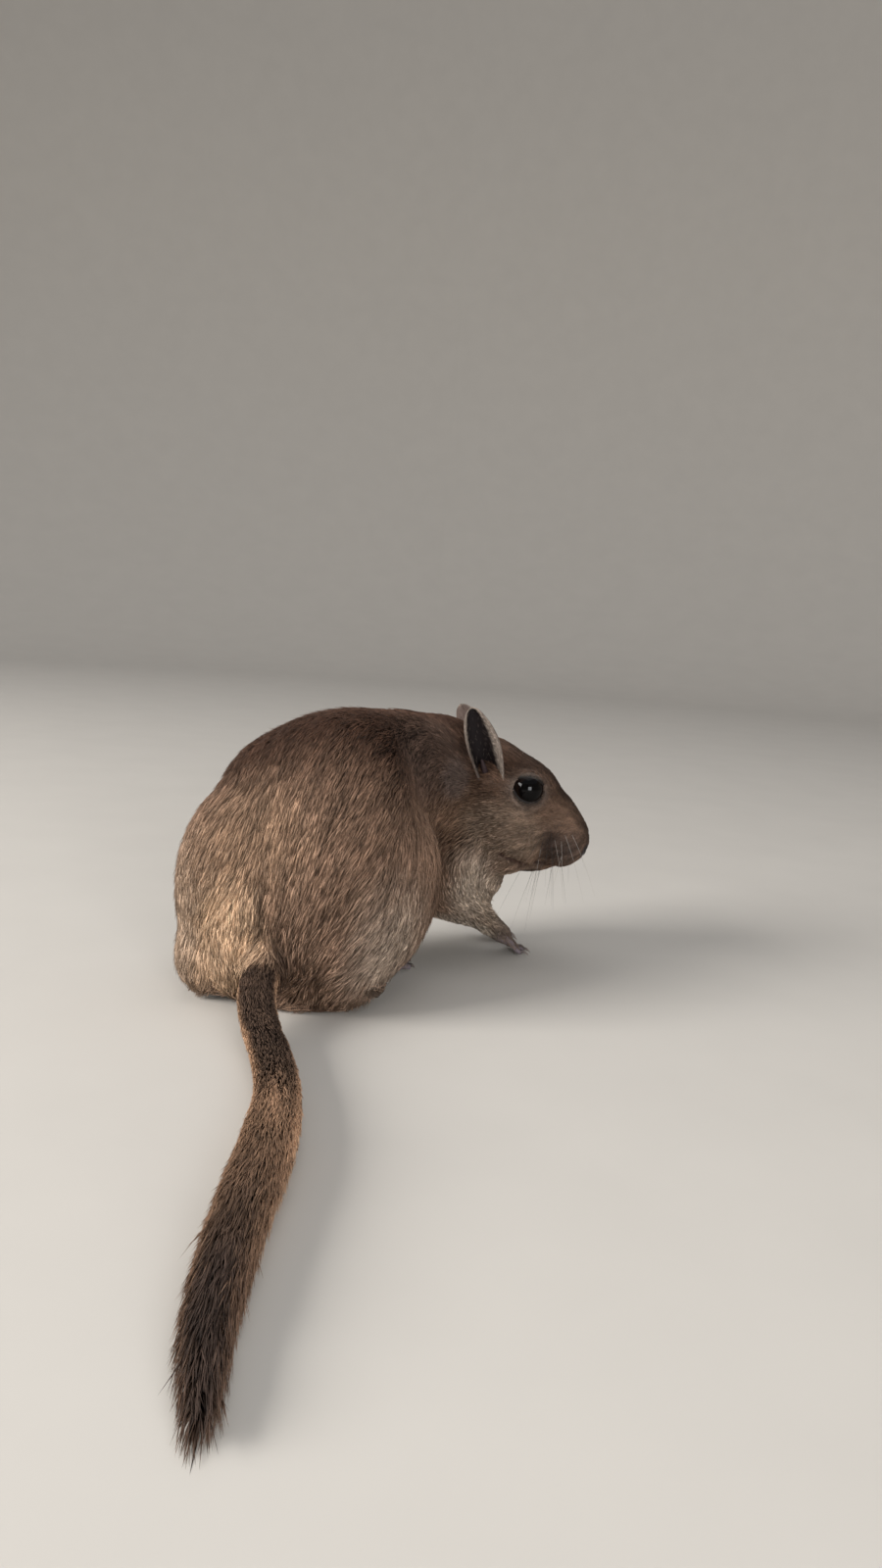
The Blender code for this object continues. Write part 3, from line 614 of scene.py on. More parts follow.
@dataclass(frozen=True)
class HideFinish:
    """Living skin under the coat: it shows between the tufts, and bare on the nose, lips and toes."""

    roughness: float = 0.62
    ior: float = 1.4
    grain_mm: float = 0.5  # skin folds are finer, and are drawn as coarse as they need to show

    def material(self) -> bpy.types.Material:
        """The material of the skin, which reads its marking."""
        material, tree, shader = new_material("gerbil_hide_matt")
        marking = add_node(tree, "ShaderNodeAttribute", {"attribute_name": "marking"}, {})
        place = add_node(tree, "ShaderNodeTexCoord", {}, {})
        grain = add_node(
            tree,
            "ShaderNodeTexNoise",
            {"in:Scale": 1 / (self.grain_mm * MM), "in:Detail": 3.0},
            {"Vector": place.outputs["Object"]},
        )
        tone = add_node(
            tree,
            "ShaderNodeMapRange",
            {"in:From Min": 0.3, "in:From Max": 0.7, "in:To Min": 0.82, "in:To Max": 1.18},
            {"Value": grain.outputs["Fac"]},
        )
        colour = add_node(
            tree, "ShaderNodeVectorMath", {"operation": "SCALE"}, {0: marking.outputs["Color"], "Scale": tone.outputs[0]}
        )
        bump = add_node(
            tree,
            "ShaderNodeBump",
            {"in:Strength": 0.5, "in:Distance": 0.12 * MM},
            {"Height": grain.outputs["Fac"]},
        )
        tree.links.new(colour.outputs[0], shader.inputs["Base Color"])
        tree.links.new(bump.outputs[0], shader.inputs["Normal"])
        shader.inputs["Roughness"].default_value = self.roughness
        shader.inputs["IOR"].default_value = self.ior
        shader.inputs["Specular IOR Level"].default_value = 0.25
        return material


@dataclass(frozen=True)
class EyeFinish:
    """A wet cornea over an all-dark iris: it looks black, with sharp reflections of the lights."""

    ior: float = 1.376
    pupil_share: float = 0.62  # of the eye's front, from its middle

    def material(self) -> bpy.types.Material:
        """The material of an eyeball, which reads how far a place is from the eye's axis."""
        material, tree, shader = new_material("wet_cornea_polished")
        ring = add_node(tree, "ShaderNodeAttribute", {"attribute_name": "off_axis"}, {})
        place = add_node(tree, "ShaderNodeTexCoord", {}, {})
        flecks = add_node(
            tree,
            "ShaderNodeTexNoise",
            {"in:Scale": 1 / (0.4 * MM), "in:Detail": 2.0},
            {"Vector": place.outputs["Object"]},
        )
        wobble = add_node(
            tree,
            "ShaderNodeMath",
            {"operation": "MULTIPLY_ADD", 1: 0.08},
            {0: flecks.outputs["Fac"], 2: ring.outputs["Fac"]},
        )
        colour = set_ramp(
            add_node(tree, "ShaderNodeValToRGB", {}, {"Fac": wobble.outputs[0]}),
            (
                (self.pupil_share, linear(Tint.EYE)),
                (self.pupil_share + 0.08, linear(Tint.IRIS)),
                (0.98, linear(Tint.EYE)),
            ),
        )
        tree.links.new(colour.outputs[0], shader.inputs["Base Color"])
        shader.inputs["Roughness"].default_value = 0.04
        shader.inputs["Specular IOR Level"].default_value = 0.2
        shader.inputs["IOR"].default_value = self.ior
        return material


@dataclass(frozen=True)
class HornFinish:
    """Keratin claws: dark at the foot and paler where they thin out, with a dull polish."""

    name: str
    foot: Tint
    tip: Tint
    roughness: float = 0.35
    ior: float = 1.55

    def material(self) -> bpy.types.Material:
        """The material of claws or whiskers, which reads the place along them."""
        material, tree, shader = new_material(self.name)
        along = add_node(tree, "ShaderNodeAttribute", {"attribute_name": "along"}, {})
        place = add_node(tree, "ShaderNodeTexCoord", {}, {})
        grain = add_node(
            tree,
            "ShaderNodeTexNoise",
            {"in:Scale": 1 / (0.3 * MM), "in:Detail": 2.0},
            {"Vector": place.outputs["Object"]},
        )
        wobble = add_node(
            tree,
            "ShaderNodeMath",
            {"operation": "MULTIPLY_ADD", 1: 0.25},
            {0: grain.outputs["Fac"], 2: along.outputs["Fac"]},
        )
        colour = set_ramp(
            add_node(tree, "ShaderNodeValToRGB", {}, {"Fac": wobble.outputs[0]}),
            ((0.3, linear(self.foot)), (1.0, linear(self.tip))),
        )
        tree.links.new(colour.outputs[0], shader.inputs["Base Color"])
        shader.inputs["Roughness"].default_value = self.roughness
        shader.inputs["IOR"].default_value = self.ior
        return material


@dataclass(frozen=True)
class PaperFinish:
    """A sweep of pale studio paper: matt, even, with the faintest mottle of its fibres."""

    roughness: float = 0.9
    ior: float = 1.45

    def material(self) -> bpy.types.Material:
        """The material of the stand."""
        material, tree, shader = new_material("studio_paper_matt")
        place = add_node(tree, "ShaderNodeTexCoord", {}, {})
        mottle = add_node(
            tree, "ShaderNodeTexNoise", {"in:Scale": 40.0, "in:Detail": 3.0}, {"Vector": place.outputs["Object"]}
        )
        pale = linear(Tint.FLOOR)
        colour = set_ramp(
            add_node(tree, "ShaderNodeValToRGB", {}, {"Fac": mottle.outputs["Fac"]}),
            ((0.3, [c * 0.97 for c in pale]), (0.7, pale)),
        )
        tree.links.new(colour.outputs[0], shader.inputs["Base Color"])
        shader.inputs["Roughness"].default_value = self.roughness
        shader.inputs["IOR"].default_value = self.ior
        return material


# Markings


class Space(Enum):
    """The frame that a marking's place is given in."""

    ROW = "row"
    HEAD = "head"


@dataclass(frozen=True)
class Marking:
    """A soft-edged patch of colour. In the head's frame it also lies mirrored on the other side."""

    tint: Tint
    centre: Triple
    reach: Triple
    strength: float = 1.0
    space: Space = Space.ROW
    edge: float = 0.45  # the share of its reach at which it starts to fade

    def weight(self, row: Array, head: Array) -> Array:
        """How much of the patch's colour shows.

        Args:
            row: Points in the row frame.
            head: The same points in the head's frame.

        Returns:
            A share from 0 to 1 for each point.
        """
        points = row.copy() if self.space is Space.ROW else head.copy()
        if self.space is Space.HEAD:
            points[:, 1] = np.abs(points[:, 1])
        away = np.linalg.norm((points - np.array(self.centre)) / np.array(self.reach), axis=1)
        return self.strength * smoothstep(1.0, self.edge, away)


MARKINGS = (
    # painted light: the left haunch is paler than the right, as if lit from the left
    Marking(Tint.HAUNCH_PALE, (-18.0, 22.0, 16.0), (20.0, 14.0, 24.0), 0.85, edge=0.0),
    Marking(Tint.HAUNCH_GREY, (-16.0, -14.0, 14.0), (18.0, 10.0, 18.0), 0.7, edge=0.1),
    Marking(Tint.RUMP, (-21.0, 11.0, 33.0), (17.0, 16.0, 16.0), 0.9, edge=0.2),
    Marking(Tint.TAIL_PATCH, (-26.0, 13.5, 15.0), (13.0, 9.5, 18.0), 0.9),
    # painted shade in the creases beside the tail's root
    Marking(Tint.CREASE, (-24.0, 7.6, 21.0), (9.0, 1.9, 9.0), 0.7, edge=0.1),
    Marking(Tint.CREASE, (-25.0, 4.6, 12.0), (9.0, 2.2, 9.0), 0.8, edge=0.1),
    Marking(Tint.SHOULDER, (6.0, -25.0, 31.0), (15.0, 9.0, 11.0), 0.8, edge=0.2),
    Marking(Tint.CHEST, (20.0, -34.0, 13.0), (16.0, 12.0, 11.0), 0.8),
    # painted light on the right upper arm and shoulder
    Marking(Tint.UPPER_ARM, (9.0, -27.5, 17.0), (12.0, 7.5, 12.0), 0.9, edge=0.3),
    # painted shade in the crease between the right haunch and the shoulder
    Marking(Tint.CREASE, (-7.0, -22.0, 24.0), (13.0, 5.6, 17.0), 0.85, edge=0.2),
    Marking(Tint.NAPE, (6.0, -20.0, 44.0), (14.0, 12.0, 12.0), 0.8),
    Marking(Tint.BEHIND_EAR, (-13.5, 8.5, -2.5), (4.2, 5.0, 4.5), 0.8, Space.HEAD),
    Marking(Tint.FOREHEAD, (0.0, 0.0, 6.0), (16.0, 7.0, 6.0), 0.9, Space.HEAD),
    Marking(Tint.CHEEK, (-1.0, 9.0, -9.0), (11.0, 8.0, 8.0), 0.9, Space.HEAD),
    Marking(Tint.EYE_RING, (-0.5, 6.2, -0.6), (6.0, 5.2, 5.2), 0.7, Space.HEAD, 0.6),
    Marking(Tint.MUZZLE, (10.0, 3.6, -9.0), (6.0, 4.2, 5.5), 0.8, Space.HEAD),
    Marking(Tint.WHISKER_PAD, (7.0, 5.0, -7.4), (3.6, 3.2, 4.4), 0.8, Space.HEAD, 0.1),
    Marking(Tint.BRIDGE, (-7.0, 7.5, -3.4), (3.2, 3.0, 1.6), 0.45, Space.HEAD),
    # painted shade under the jaw
    Marking(Tint.CHIN, (4.0, 0.0, -17.0), (9.0, 6.0, 3.5), 0.9, Space.HEAD),
    Marking(Tint.BRIDGE, (1.0, 0.0, 6.0), (9.0, 6.0, 6.0), 0.7, Space.HEAD, 0.1),
    Marking(Tint.BRIDGE, (8.5, 0.0, 1.5), (7.5, 7.0, 6.5), 0.85, Space.HEAD, 0.25),
    Marking(Tint.BRIDGE, (14.0, 0.0, -4.0), (6.0, 6.0, 6.5), 0.85, Space.HEAD, 0.25),
)


@dataclass(frozen=True)
class MarkingMap:
    """The colour of the coat at any place, the same for the skin under it."""

    back_from: float = 25.0
    back_full: float = 45.0

    def colours(self, points: Array, normals: Array, tail_share: Array) -> Array:
        """Lays the patches over each other.

        Args:
            points: Places in the row frame.
            normals: The skin's unit normal at each.
            tail_share: Its place along the tail, under 0 where it isn't on the tail.

        Returns:
            A linear colour for each place.
        """
        local = HEAD.local(points)
        colours = np.tile(tint_row(Tint.FLANK), (len(points), 1))

        def lay(tint: Tint, weight: Array) -> None:
            """Mixes a colour in by a share at each place."""
            colours[:] = colours + (tint_row(tint) - colours) * weight[:, None]

        # darker towards the top: the back's own darker fur, deepened with painted shade
        lay(Tint.BACK, smoothstep(self.back_from, self.back_full, points[:, 2]) * smoothstep(-24, -3, points[:, 0]))
        for patch in MARKINGS:
            lay(patch.tint, patch.weight(points, local))
        under = smoothstep(-0.35, -0.85, normals[:, 2]) * smoothstep(16.0, 8.0, points[:, 2])
        lay(Tint.BELLY, under * smoothstep(-14, -6, points[:, 0]) * (tail_share < 0))
        self.lay_tail(lay, normals, tail_share)
        return colours

    def lay_tail(self, lay: Callable[[Tint, Array], None], normals: Array, tail_share: Array) -> None:
        """Lays the tail's colours: orange, paler below, dark on top of the root and along the brush, and browner
        towards the tip, which is the tail's own darkening with painted shade over it.

        Args:
            lay: Mixes a colour in by a share at each place.
            normals: The skin's unit normals.
            tail_share: Places along the tail.
        """
        on_tail = smoothstep(0.02, 0.08, tail_share)
        lay(Tint.TAIL_ORANGE, on_tail)
        lay(Tint.TAIL_PALE, on_tail * smoothstep(0.2, -0.6, normals[:, 2]))
        # browner towards the tip: the tail's own darkening, with painted shade over it
        lay(Tint.TAIL_BROWN, on_tail * smoothstep(0.5, 0.85, tail_share) * 0.85)
        narrower = np.clip(tail_share, 0, 1)
        on_top = smoothstep(-0.1, 0.4, normals[:, 2] - 0.8 * narrower)
        root = smoothstep(0.66, 0.4, tail_share) * on_top
        brush = smoothstep(0.5, 0.85, tail_share) * smoothstep(0.5, 0.95, normals[:, 2])
        tip = smoothstep(0.7, 1.0, tail_share)
        lay(Tint.TAIL_DARK, on_tail * np.clip(root * 0.9 + brush * 0.9 + tip * 0.7, 0, 1))


# The pelt: skin with what grows on it


@dataclass(frozen=True)
class Grade:
    """The coat of one part of the body, in millimetres, with tufts a square millimetre."""

    depth: float  # from the skin to the coat's outside
    lift: float  # how far over the skin the tips of the tufts end
    length: float
    width: float
    guards: float  # long curved tufts a square millimetre
    unders: float  # short straight tufts a square millimetre
    ticking: float  # the share of tufts with a black tip


GRADES = {
    Region.TRUNK: Grade(1.8, 1.9, 6.4, 0.23, 6.0, 11.5, 0.35),
    Region.NECK: Grade(1.3, 1.4, 4.6, 0.21, 7.0, 13.5, 0.35),
    Region.HEAD: Grade(0.75, 0.75, 3.0, 0.16, 5.0, 24.0, 0.25),
    Region.HAUNCH: Grade(2.0, 2.1, 7.0, 0.24, 6.0, 11.5, 0.2),
    Region.FORELEG: Grade(0.8, 0.85, 3.2, 0.18, 4.5, 16.0, 0.1),
    Region.TAIL: Grade(0.9, 0.85, 3.6, 0.18, 9.0, 15.0, 0.15),
    Region.BRUSH: Grade(0.5, 2.3, 8.0, 0.19, 15.0, 12.0, 0.2),
    Region.FOREFOOT: Grade(0.1, 0.22, 1.7, 0.12, 1.5, 24.0, 0.0),
    Region.HINDFOOT: Grade(0.12, 0.22, 1.8, 0.13, 1.5, 22.0, 0.0),
}

FIELDS = ("depth", "lift", "length", "width", "guards", "unders", "ticking")

NODE_REGIONS = {
    "torso": Region.TRUNK,
    "neck": Region.NECK,
    "head": Region.HEAD,
    "thigh_left": Region.HAUNCH,
    "thigh_right": Region.HAUNCH,
    "foreleg_left": Region.FORELEG,
    "foreleg_right": Region.FORELEG,
    "tail_base": Region.TAIL,
    "tail_middle": Region.TAIL,
    "tail_end": Region.BRUSH,
    "forefoot_left": Region.FOREFOOT,
    "forefoot_right": Region.FOREFOOT,
    "hindfoot_left": Region.HINDFOOT,
    "hindfoot_right": Region.HINDFOOT,
}


@dataclass
class Pelt:
    """A skin surface, with one value a vertex of all that the coat needs."""

    points: Array
    triangles: Array
    edges: Array
    normals: Array
    region: Array
    lie: Array
    lift: Array
    length: Array
    width: Array
    guards: Array
    unders: Array
    ticking: Array
    marking: Array
    free: Array  # where the tufts run straight along the lie and leave the skin

    def landings(self) -> tuple[Array, Array, Array, Array]:
        """Follows the lie over the skin from each vertex, half a tuft's length and a whole one.

        Returns:
            The two offsets, and the skin's normals where they end.
        """
        tree = BVHTree.FromPolygons(self.points.tolist(), self.triangles.tolist())
        offsets, normals = [], []
        at, heading = self.points, self.lie
        for _ in range(2):
            aim = at + heading * (self.length / 2)[:, None]
            found = [tree.find_nearest(Vector(p)) for p in aim.tolist()]
            at = np.where(self.free[:, None], aim, np.array([f[0][:] for f in found]))
            corner = self.triangles[np.array([f[2] for f in found])][:, 0]
            heading = np.where(self.free[:, None], self.lie, self.lie[corner])
            offsets.append(at - self.points)
            normals.append(np.where(self.free[:, None], self.normals, self.normals[corner]))
        return offsets[0], offsets[1], normals[0], normals[1]


@dataclass(frozen=True)
class Lie:
    """The way the hairs point over the body, from the nose back, down the flanks and out along the limbs."""

    trunk_start: tuple[float, float] = (-25.5, 7.4)
    trunk_runs: tuple[tuple[float, float], ...] = (
        (5.0, -15), (7.0, -16), (8.0, -18), (9.0, -22), (9.0, -30),
        (8.5, -42), (7.5, -54), (6.0, -66), (6.0, -78), (0.0, -86),
    )
    trunk_fall: float = 0.8
    haunch_right: Triple = (-0.42, 0.12, -1.0)
    haunch_left: Triple = (-0.5, 0.4, -1.0)

    def spine(self) -> tuple[Array, Array]:
        """The trunk's middle line on the floor plan, and the unit direction forward along it."""
        place, plan, ahead = np.array(self.trunk_start), [], []
        for run, heading in self.trunk_runs:
            way = np.array([math.cos(math.radians(heading)), math.sin(math.radians(heading))])
            plan.append(place.copy())
            ahead.append(way)
            place = place + way * run
        return np.array(plan), np.array(ahead)

    def directions(self, points: Array, region: Array) -> Array:
        """The lie before it is laid on the skin.

        Args:
            points: Places on the skin.
            region: The region value of each.

        Returns:
            A direction for each place, which need not lie on the skin yet.
        """
        plan, ahead = self.spine()
        nearest = np.argmin(np.linalg.norm(points[:, None, :2] - plan[None], axis=2), axis=1)
        forward = np.concatenate([ahead[nearest], np.zeros((len(points), 1))], axis=1)
        down = np.array([0.0, 0.0, -1.0])
        lie = -forward + down * self.trunk_fall
        head_x, _, head_z = HEAD.axes()
        local = HEAD.local(points)
        on_head = region == Region.HEAD.value
        fall = smoothstep(3.0, -8.0, local[:, 2])[:, None]
        lie[on_head] = (-head_x - head_z * 0.55 * fall)[on_head]
        on_neck = region == Region.NECK.value
        lie[on_neck] = (-forward * 0.6 - head_x * 0.4 + down * 0.75)[on_neck]
        haunch = region == Region.HAUNCH.value
        left = points[:, 1] > 2.0
        lie[haunch & ~left] = self.haunch_right
        lie[haunch & left] = self.haunch_left
        self.lay_limbs(lie, points, region)
        return lie

    def lay_limbs(self, lie: Array, points: Array, region: Array) -> None:
        """Points the hairs down the forelegs, along the tail and towards the toes.

        Args:
            lie: The directions, which are changed in place.
            points: Places on the skin.
            region: The region value of each.
        """
        middle = (ARMS[Side.LEFT].elbow[0] + ARMS[Side.RIGHT].elbow[0]) / 2
        for side, arm in ARMS.items():
            near = (points[:, 0] > middle) == (side is Side.LEFT)
            upper = unit(np.array(arm.elbow) - np.array(arm.shoulder) + np.array([0.0, -3.0, 0.0]))
            lower = unit(np.array(arm.knuckles) - np.array(arm.elbow))
            share = smoothstep(20.0, 12.0, points[:, 2])[:, None]
            on_arm = near & (region == Region.FORELEG.value)
            lie[on_arm] = (upper + (lower - upper) * share)[on_arm]
            fingers = unit(np.array(arm.fingertips) - np.array(arm.wrist))
            lie[near & (region == Region.FOREFOOT.value)] = fingers
        for side, foot in FEET.items():
            near = (points[:, 1] > 3.0) == (side is Side.LEFT)
            toes = np.array([*(np.array(foot.toe) - np.array(foot.heel)), 0.0])
            lie[near & (region == Region.HINDFOOT.value)] = unit(toes)
        line, ahead = TAIL.sampled(120)
        on_tail = np.isin(region, (Region.TAIL.value, Region.BRUSH.value))
        nearest = np.argmin(np.linalg.norm(points[on_tail][:, None] - line[None], axis=2), axis=1)
        lie[on_tail] = ahead[nearest]


# Head features


@dataclass(frozen=True)
class EyePlan:
    """Where the eyes sit, and how wide they are open."""

    radius: float = 3.45
    place: Triple = (-0.5, 6.2, 0.0)
    look: Triple = (0.16, 1.0, 0.10)
    opening: tuple[float, float] = (2.86, 2.36)
    corner: float = 0.65

    def frame(self, side: Side) -> Matrix:
        """A frame at an eye's centre, in millimetres, whose +Z looks out and whose +X points forward."""
        look = Vector((self.look[0], self.look[1] * side.value, self.look[2])).normalized()
        ahead = (Vector((1, 0, 0)) - look * look.x).normalized()
        turn = Matrix((ahead, look.cross(ahead), look)).transposed().to_4x4()
        place = Matrix.Translation(Vector((self.place[0], self.place[1] * side.value, self.place[2])))
        return HEAD.matrix() @ place @ turn

    def centre(self, side: Side) -> Array:
        """The eyeball's centre in the row frame."""
        return np.array(self.frame(side).translation)

    def margin(self, side: Side, angle: Array, outward: float = 0.0) -> tuple[Array, Array]:
        """The edge of the lids, seen along the eye's axis.

        Args:
            side: Which eye.
            angle: Angles round the axis from the front corner, towards the top on either eye.
            outward: How far out of the edge.

        Returns:
            The two coordinates in the eye's frame.
        """
        rear = np.clip(-np.cos(angle - math.radians(8)), 0, 1) ** 9 * self.corner
        front = np.clip(np.cos(angle + math.radians(22)), 0, 1) ** 9 * self.corner * 0.7
        reach = 1 + (rear + front) / self.opening[0]
        x = np.cos(angle) * (self.opening[0] * reach + outward)
        y = np.sin(angle) * (self.opening[1] * reach + outward)
        return x, y * side.value


EYES = EyePlan()


@dataclass(frozen=True)
class MouthPlan:
    """The line between the lips, seen from the side in the head's frame, and the nostrils."""

    profile: tuple[tuple[float, float], ...] = (
        (-1.4, -13.3), (1.4, -13.8), (3.8, -14.1), (6.4, -13.9), (9.0, -13.5), (11.2, -13.1),
    )
    front: tuple[float, float] = (12.9, -12.9)
    nostril: Triple = (14.7, 1.45, -8.4)
    cleft: tuple[Triple, ...] = ((15.6, 0.0, -9.6), (14.8, 0.0, -11.2), (13.4, 0.0, -12.6))

    def line(self, tree: BVHTree) -> Array:
        """Lays the line on the skin.

        Args:
            tree: The skin, in millimetres.

        Returns:
            Points in the row frame, from the left corner round the front to the right one.
        """
        inward = Vector((HEAD.matrix().to_3x3() @ Vector((0, -1, 0))))
        half = []
        for x, z in self.profile:
            start = HEAD.matrix() @ Vector((x, 30.0, z))
            place = tree.ray_cast(start, inward)[0]
            local = HEAD.matrix().inverted() @ place if place else Vector((x, 0.5, z))
            half.append(np.array(local))
        front = np.array([self.front[0], 0.0, self.front[1]])
        mirror = np.array([1.0, -1.0, 1.0])
        knots = [*half, front, *(p * mirror for p in reversed(half))]
        return HEAD.world(np.array([eased(knots, t) for t in np.linspace(0, 1, 90)]))


MOUTH = MouthPlan()


@dataclass
class Skin:
    """One skin over trunk, head, limbs, feet and tail, sunk under the coat's tips by the coat's depth."""

    voxel: float = 0.4
    swell: float = 0.28  # closes the gaps between the solids before they are fused
    rounds: int = 16
    broad_streak: float = 1.5
    fine_streak: float = 0.7
    finish: HideFinish = field(default_factory=HideFinish)

    def fused(self) -> bpy.types.Object:
        """Fuses the solids of flesh, with finer feet, a plain tail and filled eye sockets.

        Returns:
            The fused skin, which still lies at the coat's outside.
        """
        left_out = (Region.BRUSH, Region.FOREFOOT, Region.HINDFOOT)
        parts = [self.swollen(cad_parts[n].data) for n, r in NODE_REGIONS.items() if r not in left_out]
        for side in Side:
            parts.append(ball(EYES.centre(side), (EYES.radius + 0.1,) * 3))
            ear = Ear(side).matrix()
            parts.append(ball(ear @ Vector((-0.4, -0.9, -0.6)), (4.0, 2.6, 3.2), ear))
            parts += Paw(side).flesh() + HindFoot(side).flesh()
        knots = [np.array(p) for p in TAIL.path]
        parts += limb([(eased(knots, t), TAIL.radius(t)) for t in np.linspace(0, 1, 24)])
        mesh = mesh_from("skin", *merged(parts))
        skin = new_object("skin", mesh)
        fuse = skin.modifiers.new("fuse", "REMESH")
        fuse.mode = "VOXEL"
        fuse.voxel_size = self.voxel * MM
        bpy.context.view_layer.update()
        done = bpy.data.meshes.new_from_object(skin.evaluated_get(bpy.context.evaluated_depsgraph_get()))
        skin.modifiers.clear()
        skin.data = done
        bpy.data.meshes.remove(mesh)
        done.name = "skin"
        return skin

    def swollen(self, mesh: bpy.types.Mesh) -> Part:
        """A copy of a solid, slightly swollen.

        Args:
            mesh: The solid's mesh, which isn't changed.

        Returns:
            Its points and faces.
        """
        points, back = np.unique(np.round(points_of(mesh), 4), axis=0, return_inverse=True)
        triangles = back.ravel()[triangles_of(mesh)]
        return points + normals_of(points, triangles) * self.swell, [triangles]

    def regions(self, points: Array) -> Array:
        """The region of each place: that of the nearest solid.

        Args:
            points: Places in the row frame.

        Returns:
            The value of a Region for each.
        """
        corners, faces, owner, offset = [], [], [], 0
        for name, region in NODE_REGIONS.items():
            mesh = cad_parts[name].data
            found = triangles_of(mesh)
            corners.append(points_of(mesh))
            faces.append(found + offset)
            owner += [region.value] * len(found)
            offset += len(mesh.vertices)
        tree = BVHTree.FromPolygons(np.concatenate(corners).tolist(), np.concatenate(faces).tolist())
        nearest = [tree.find_nearest(Vector(p))[2] for p in points.tolist()]
        return np.array(owner)[np.array(nearest)]

    def pelt(self) -> tuple[bpy.types.Object, Pelt]:
        """Builds the skin.

        Returns:
            The skin's object, and the pelt that the coat grows on.
        """
        skin = self.fused()
        mesh = skin.data
        points, edges = points_of(mesh), edges_of(mesh)
        region = self.regions(points)
        feet = np.isin(region, (Region.FOREFOOT.value, Region.HINDFOOT.value)).astype(float)
        feet = spread(feet, edges, 3)
        points = spread(points, edges, self.rounds, 0.5, feet * 0.85)
        triangles = triangles_of(mesh)
        normals = spread(normals_of(points, triangles), edges, 6)

        fields = np.array([
            [getattr(GRADES[r], name) for name in FIELDS]
            for r in Region
        ])[region]
        fields = spread(fields, edges, 60)
        local = HEAD.local(points)
        self.shape_head_fields(fields, local, region)
        points = points - unit(normals) * fields[:, :1]
        points = spread(points, edges, 4, 0.5, feet * 0.9)
        points[:, 2] = np.maximum(points[:, 2], 0.25)

        bare = self.carve_face(points, edges, triangles, fields)
        normals = normals_of(points, triangles)
        lie = Lie().directions(points, region)
        for _ in range(3):
            lie = lie - normals * np.sum(lie * normals, axis=1, keepdims=True)
            lie = spread(unit(lie), edges, 24)
        lie = unit(lie - normals * np.sum(lie * normals, axis=1, keepdims=True))

        line, ahead = TAIL.sampled(120)
        on_tail = np.isin(region, (Region.TAIL.value, Region.BRUSH.value))
        tail_share = np.full(len(points), -1.0)
        nearest = np.argmin(np.linalg.norm(points[on_tail][:, None] - line[None], axis=2), axis=1)
        tail_share[on_tail] = nearest / 119
        marking = MarkingMap().colours(points, normals, tail_share)
        self.grow_brush(fields, tail_share)

        marking *= np.exp(0.2 * self.streaks(points, lie, fields[:, 2]))[:, None]
        paw = smoothstep(0.15, 0.95, spread(feet, edges, 40))
        toes = feet * smoothstep(2.6, 1.3, points[:, 2])
        fields[:, 4:6] *= (1 - 0.9 * toes)[:, None]
        hide = marking * 0.55 + tint_row(Tint.UNDERCOAT) * 0.2
        low_paw = paw * smoothstep(6.0, 2.5, points[:, 2])
        hide += (tint_row(Tint.PAW) - hide) * low_paw[:, None]
        marking += (tint_row(Tint.FOOT_FUR) - marking) * (paw * 0.75)[:, None]
        for tint, share in bare:
            hide += (tint_row(tint) - hide) * share[:, None]
            marking += (tint_row(tint) - marking) * share[:, None]
        set_colour(mesh, "marking", hide)
        flat = (points * MM).astype(np.float32).ravel()
        mesh.vertices.foreach_set("co", flat)
        mesh.polygons.foreach_set("use_smooth", np.ones(len(mesh.polygons), bool))
        mesh.update()
        mesh.materials.clear()
        mesh.materials.append(self.finish.material())
        _, lift, length, width, guards, unders, ticking = fields.T
        free = tail_share > TAIL.free_from
        lie[free] = ahead[nearest[free[on_tail]]]
        return skin, Pelt(
            points, triangles, edges, normals, region, lie, lift, length, width, guards, unders, ticking, marking, free
        )

    def streaks(self, points: Array, lie: Array, length: Array) -> Array:
        """Tones in streaks along the lie, broad ones in long fur and fine ones in short fur.

        Args:
            points: Places on the skin.
            lie: The unit direction of the hairs at each.
            length: The length of the tufts at each.

        Returns:
            A tone for each place, about 0 on the whole and mostly within 1 of it.
        """
        long_fur = smoothstep(1.5, 5.0, length)
        tone = np.zeros(len(points))
        for grain, share in ((self.broad_streak, long_fur), (self.fine_streak, 1 - long_fur)):
            total = np.zeros(len(points))
            for step in np.linspace(-0.7, 0.7, 7):
                places = (points + lie * (length * step)[:, None]) / grain
                total += np.array([noise.noise(place) for place in places.tolist()])
            tone += share * total / total.std()
        return np.clip(tone, -2, 2)

    def grow_brush(self, fields: Array, tail_share: Array) -> None:
        """Lengthens and lifts the tail's coat towards the brush.

        Args:
            fields: The coat's fields, in the order of FIELDS, which are changed in place.
            tail_share: Places along the tail, under 0 off it.
        """
        on_tail = tail_share > 0.02
        grown = smoothstep(0.34, 0.8, tail_share)
        near_tip = smoothstep(0.85, 1.0, tail_share)
        lift = 0.85 + (TAIL.brush_lift - 0.85) * grown * (1 - 0.35 * near_tip)
        length = 3.0 + (TAIL.brush_length - 3.0) * grown * (1 - 0.3 * near_tip)
        fields[:, 1] = np.where(on_tail, lift, fields[:, 1])
        fields[:, 2] = np.where(on_tail, length, fields[:, 2])

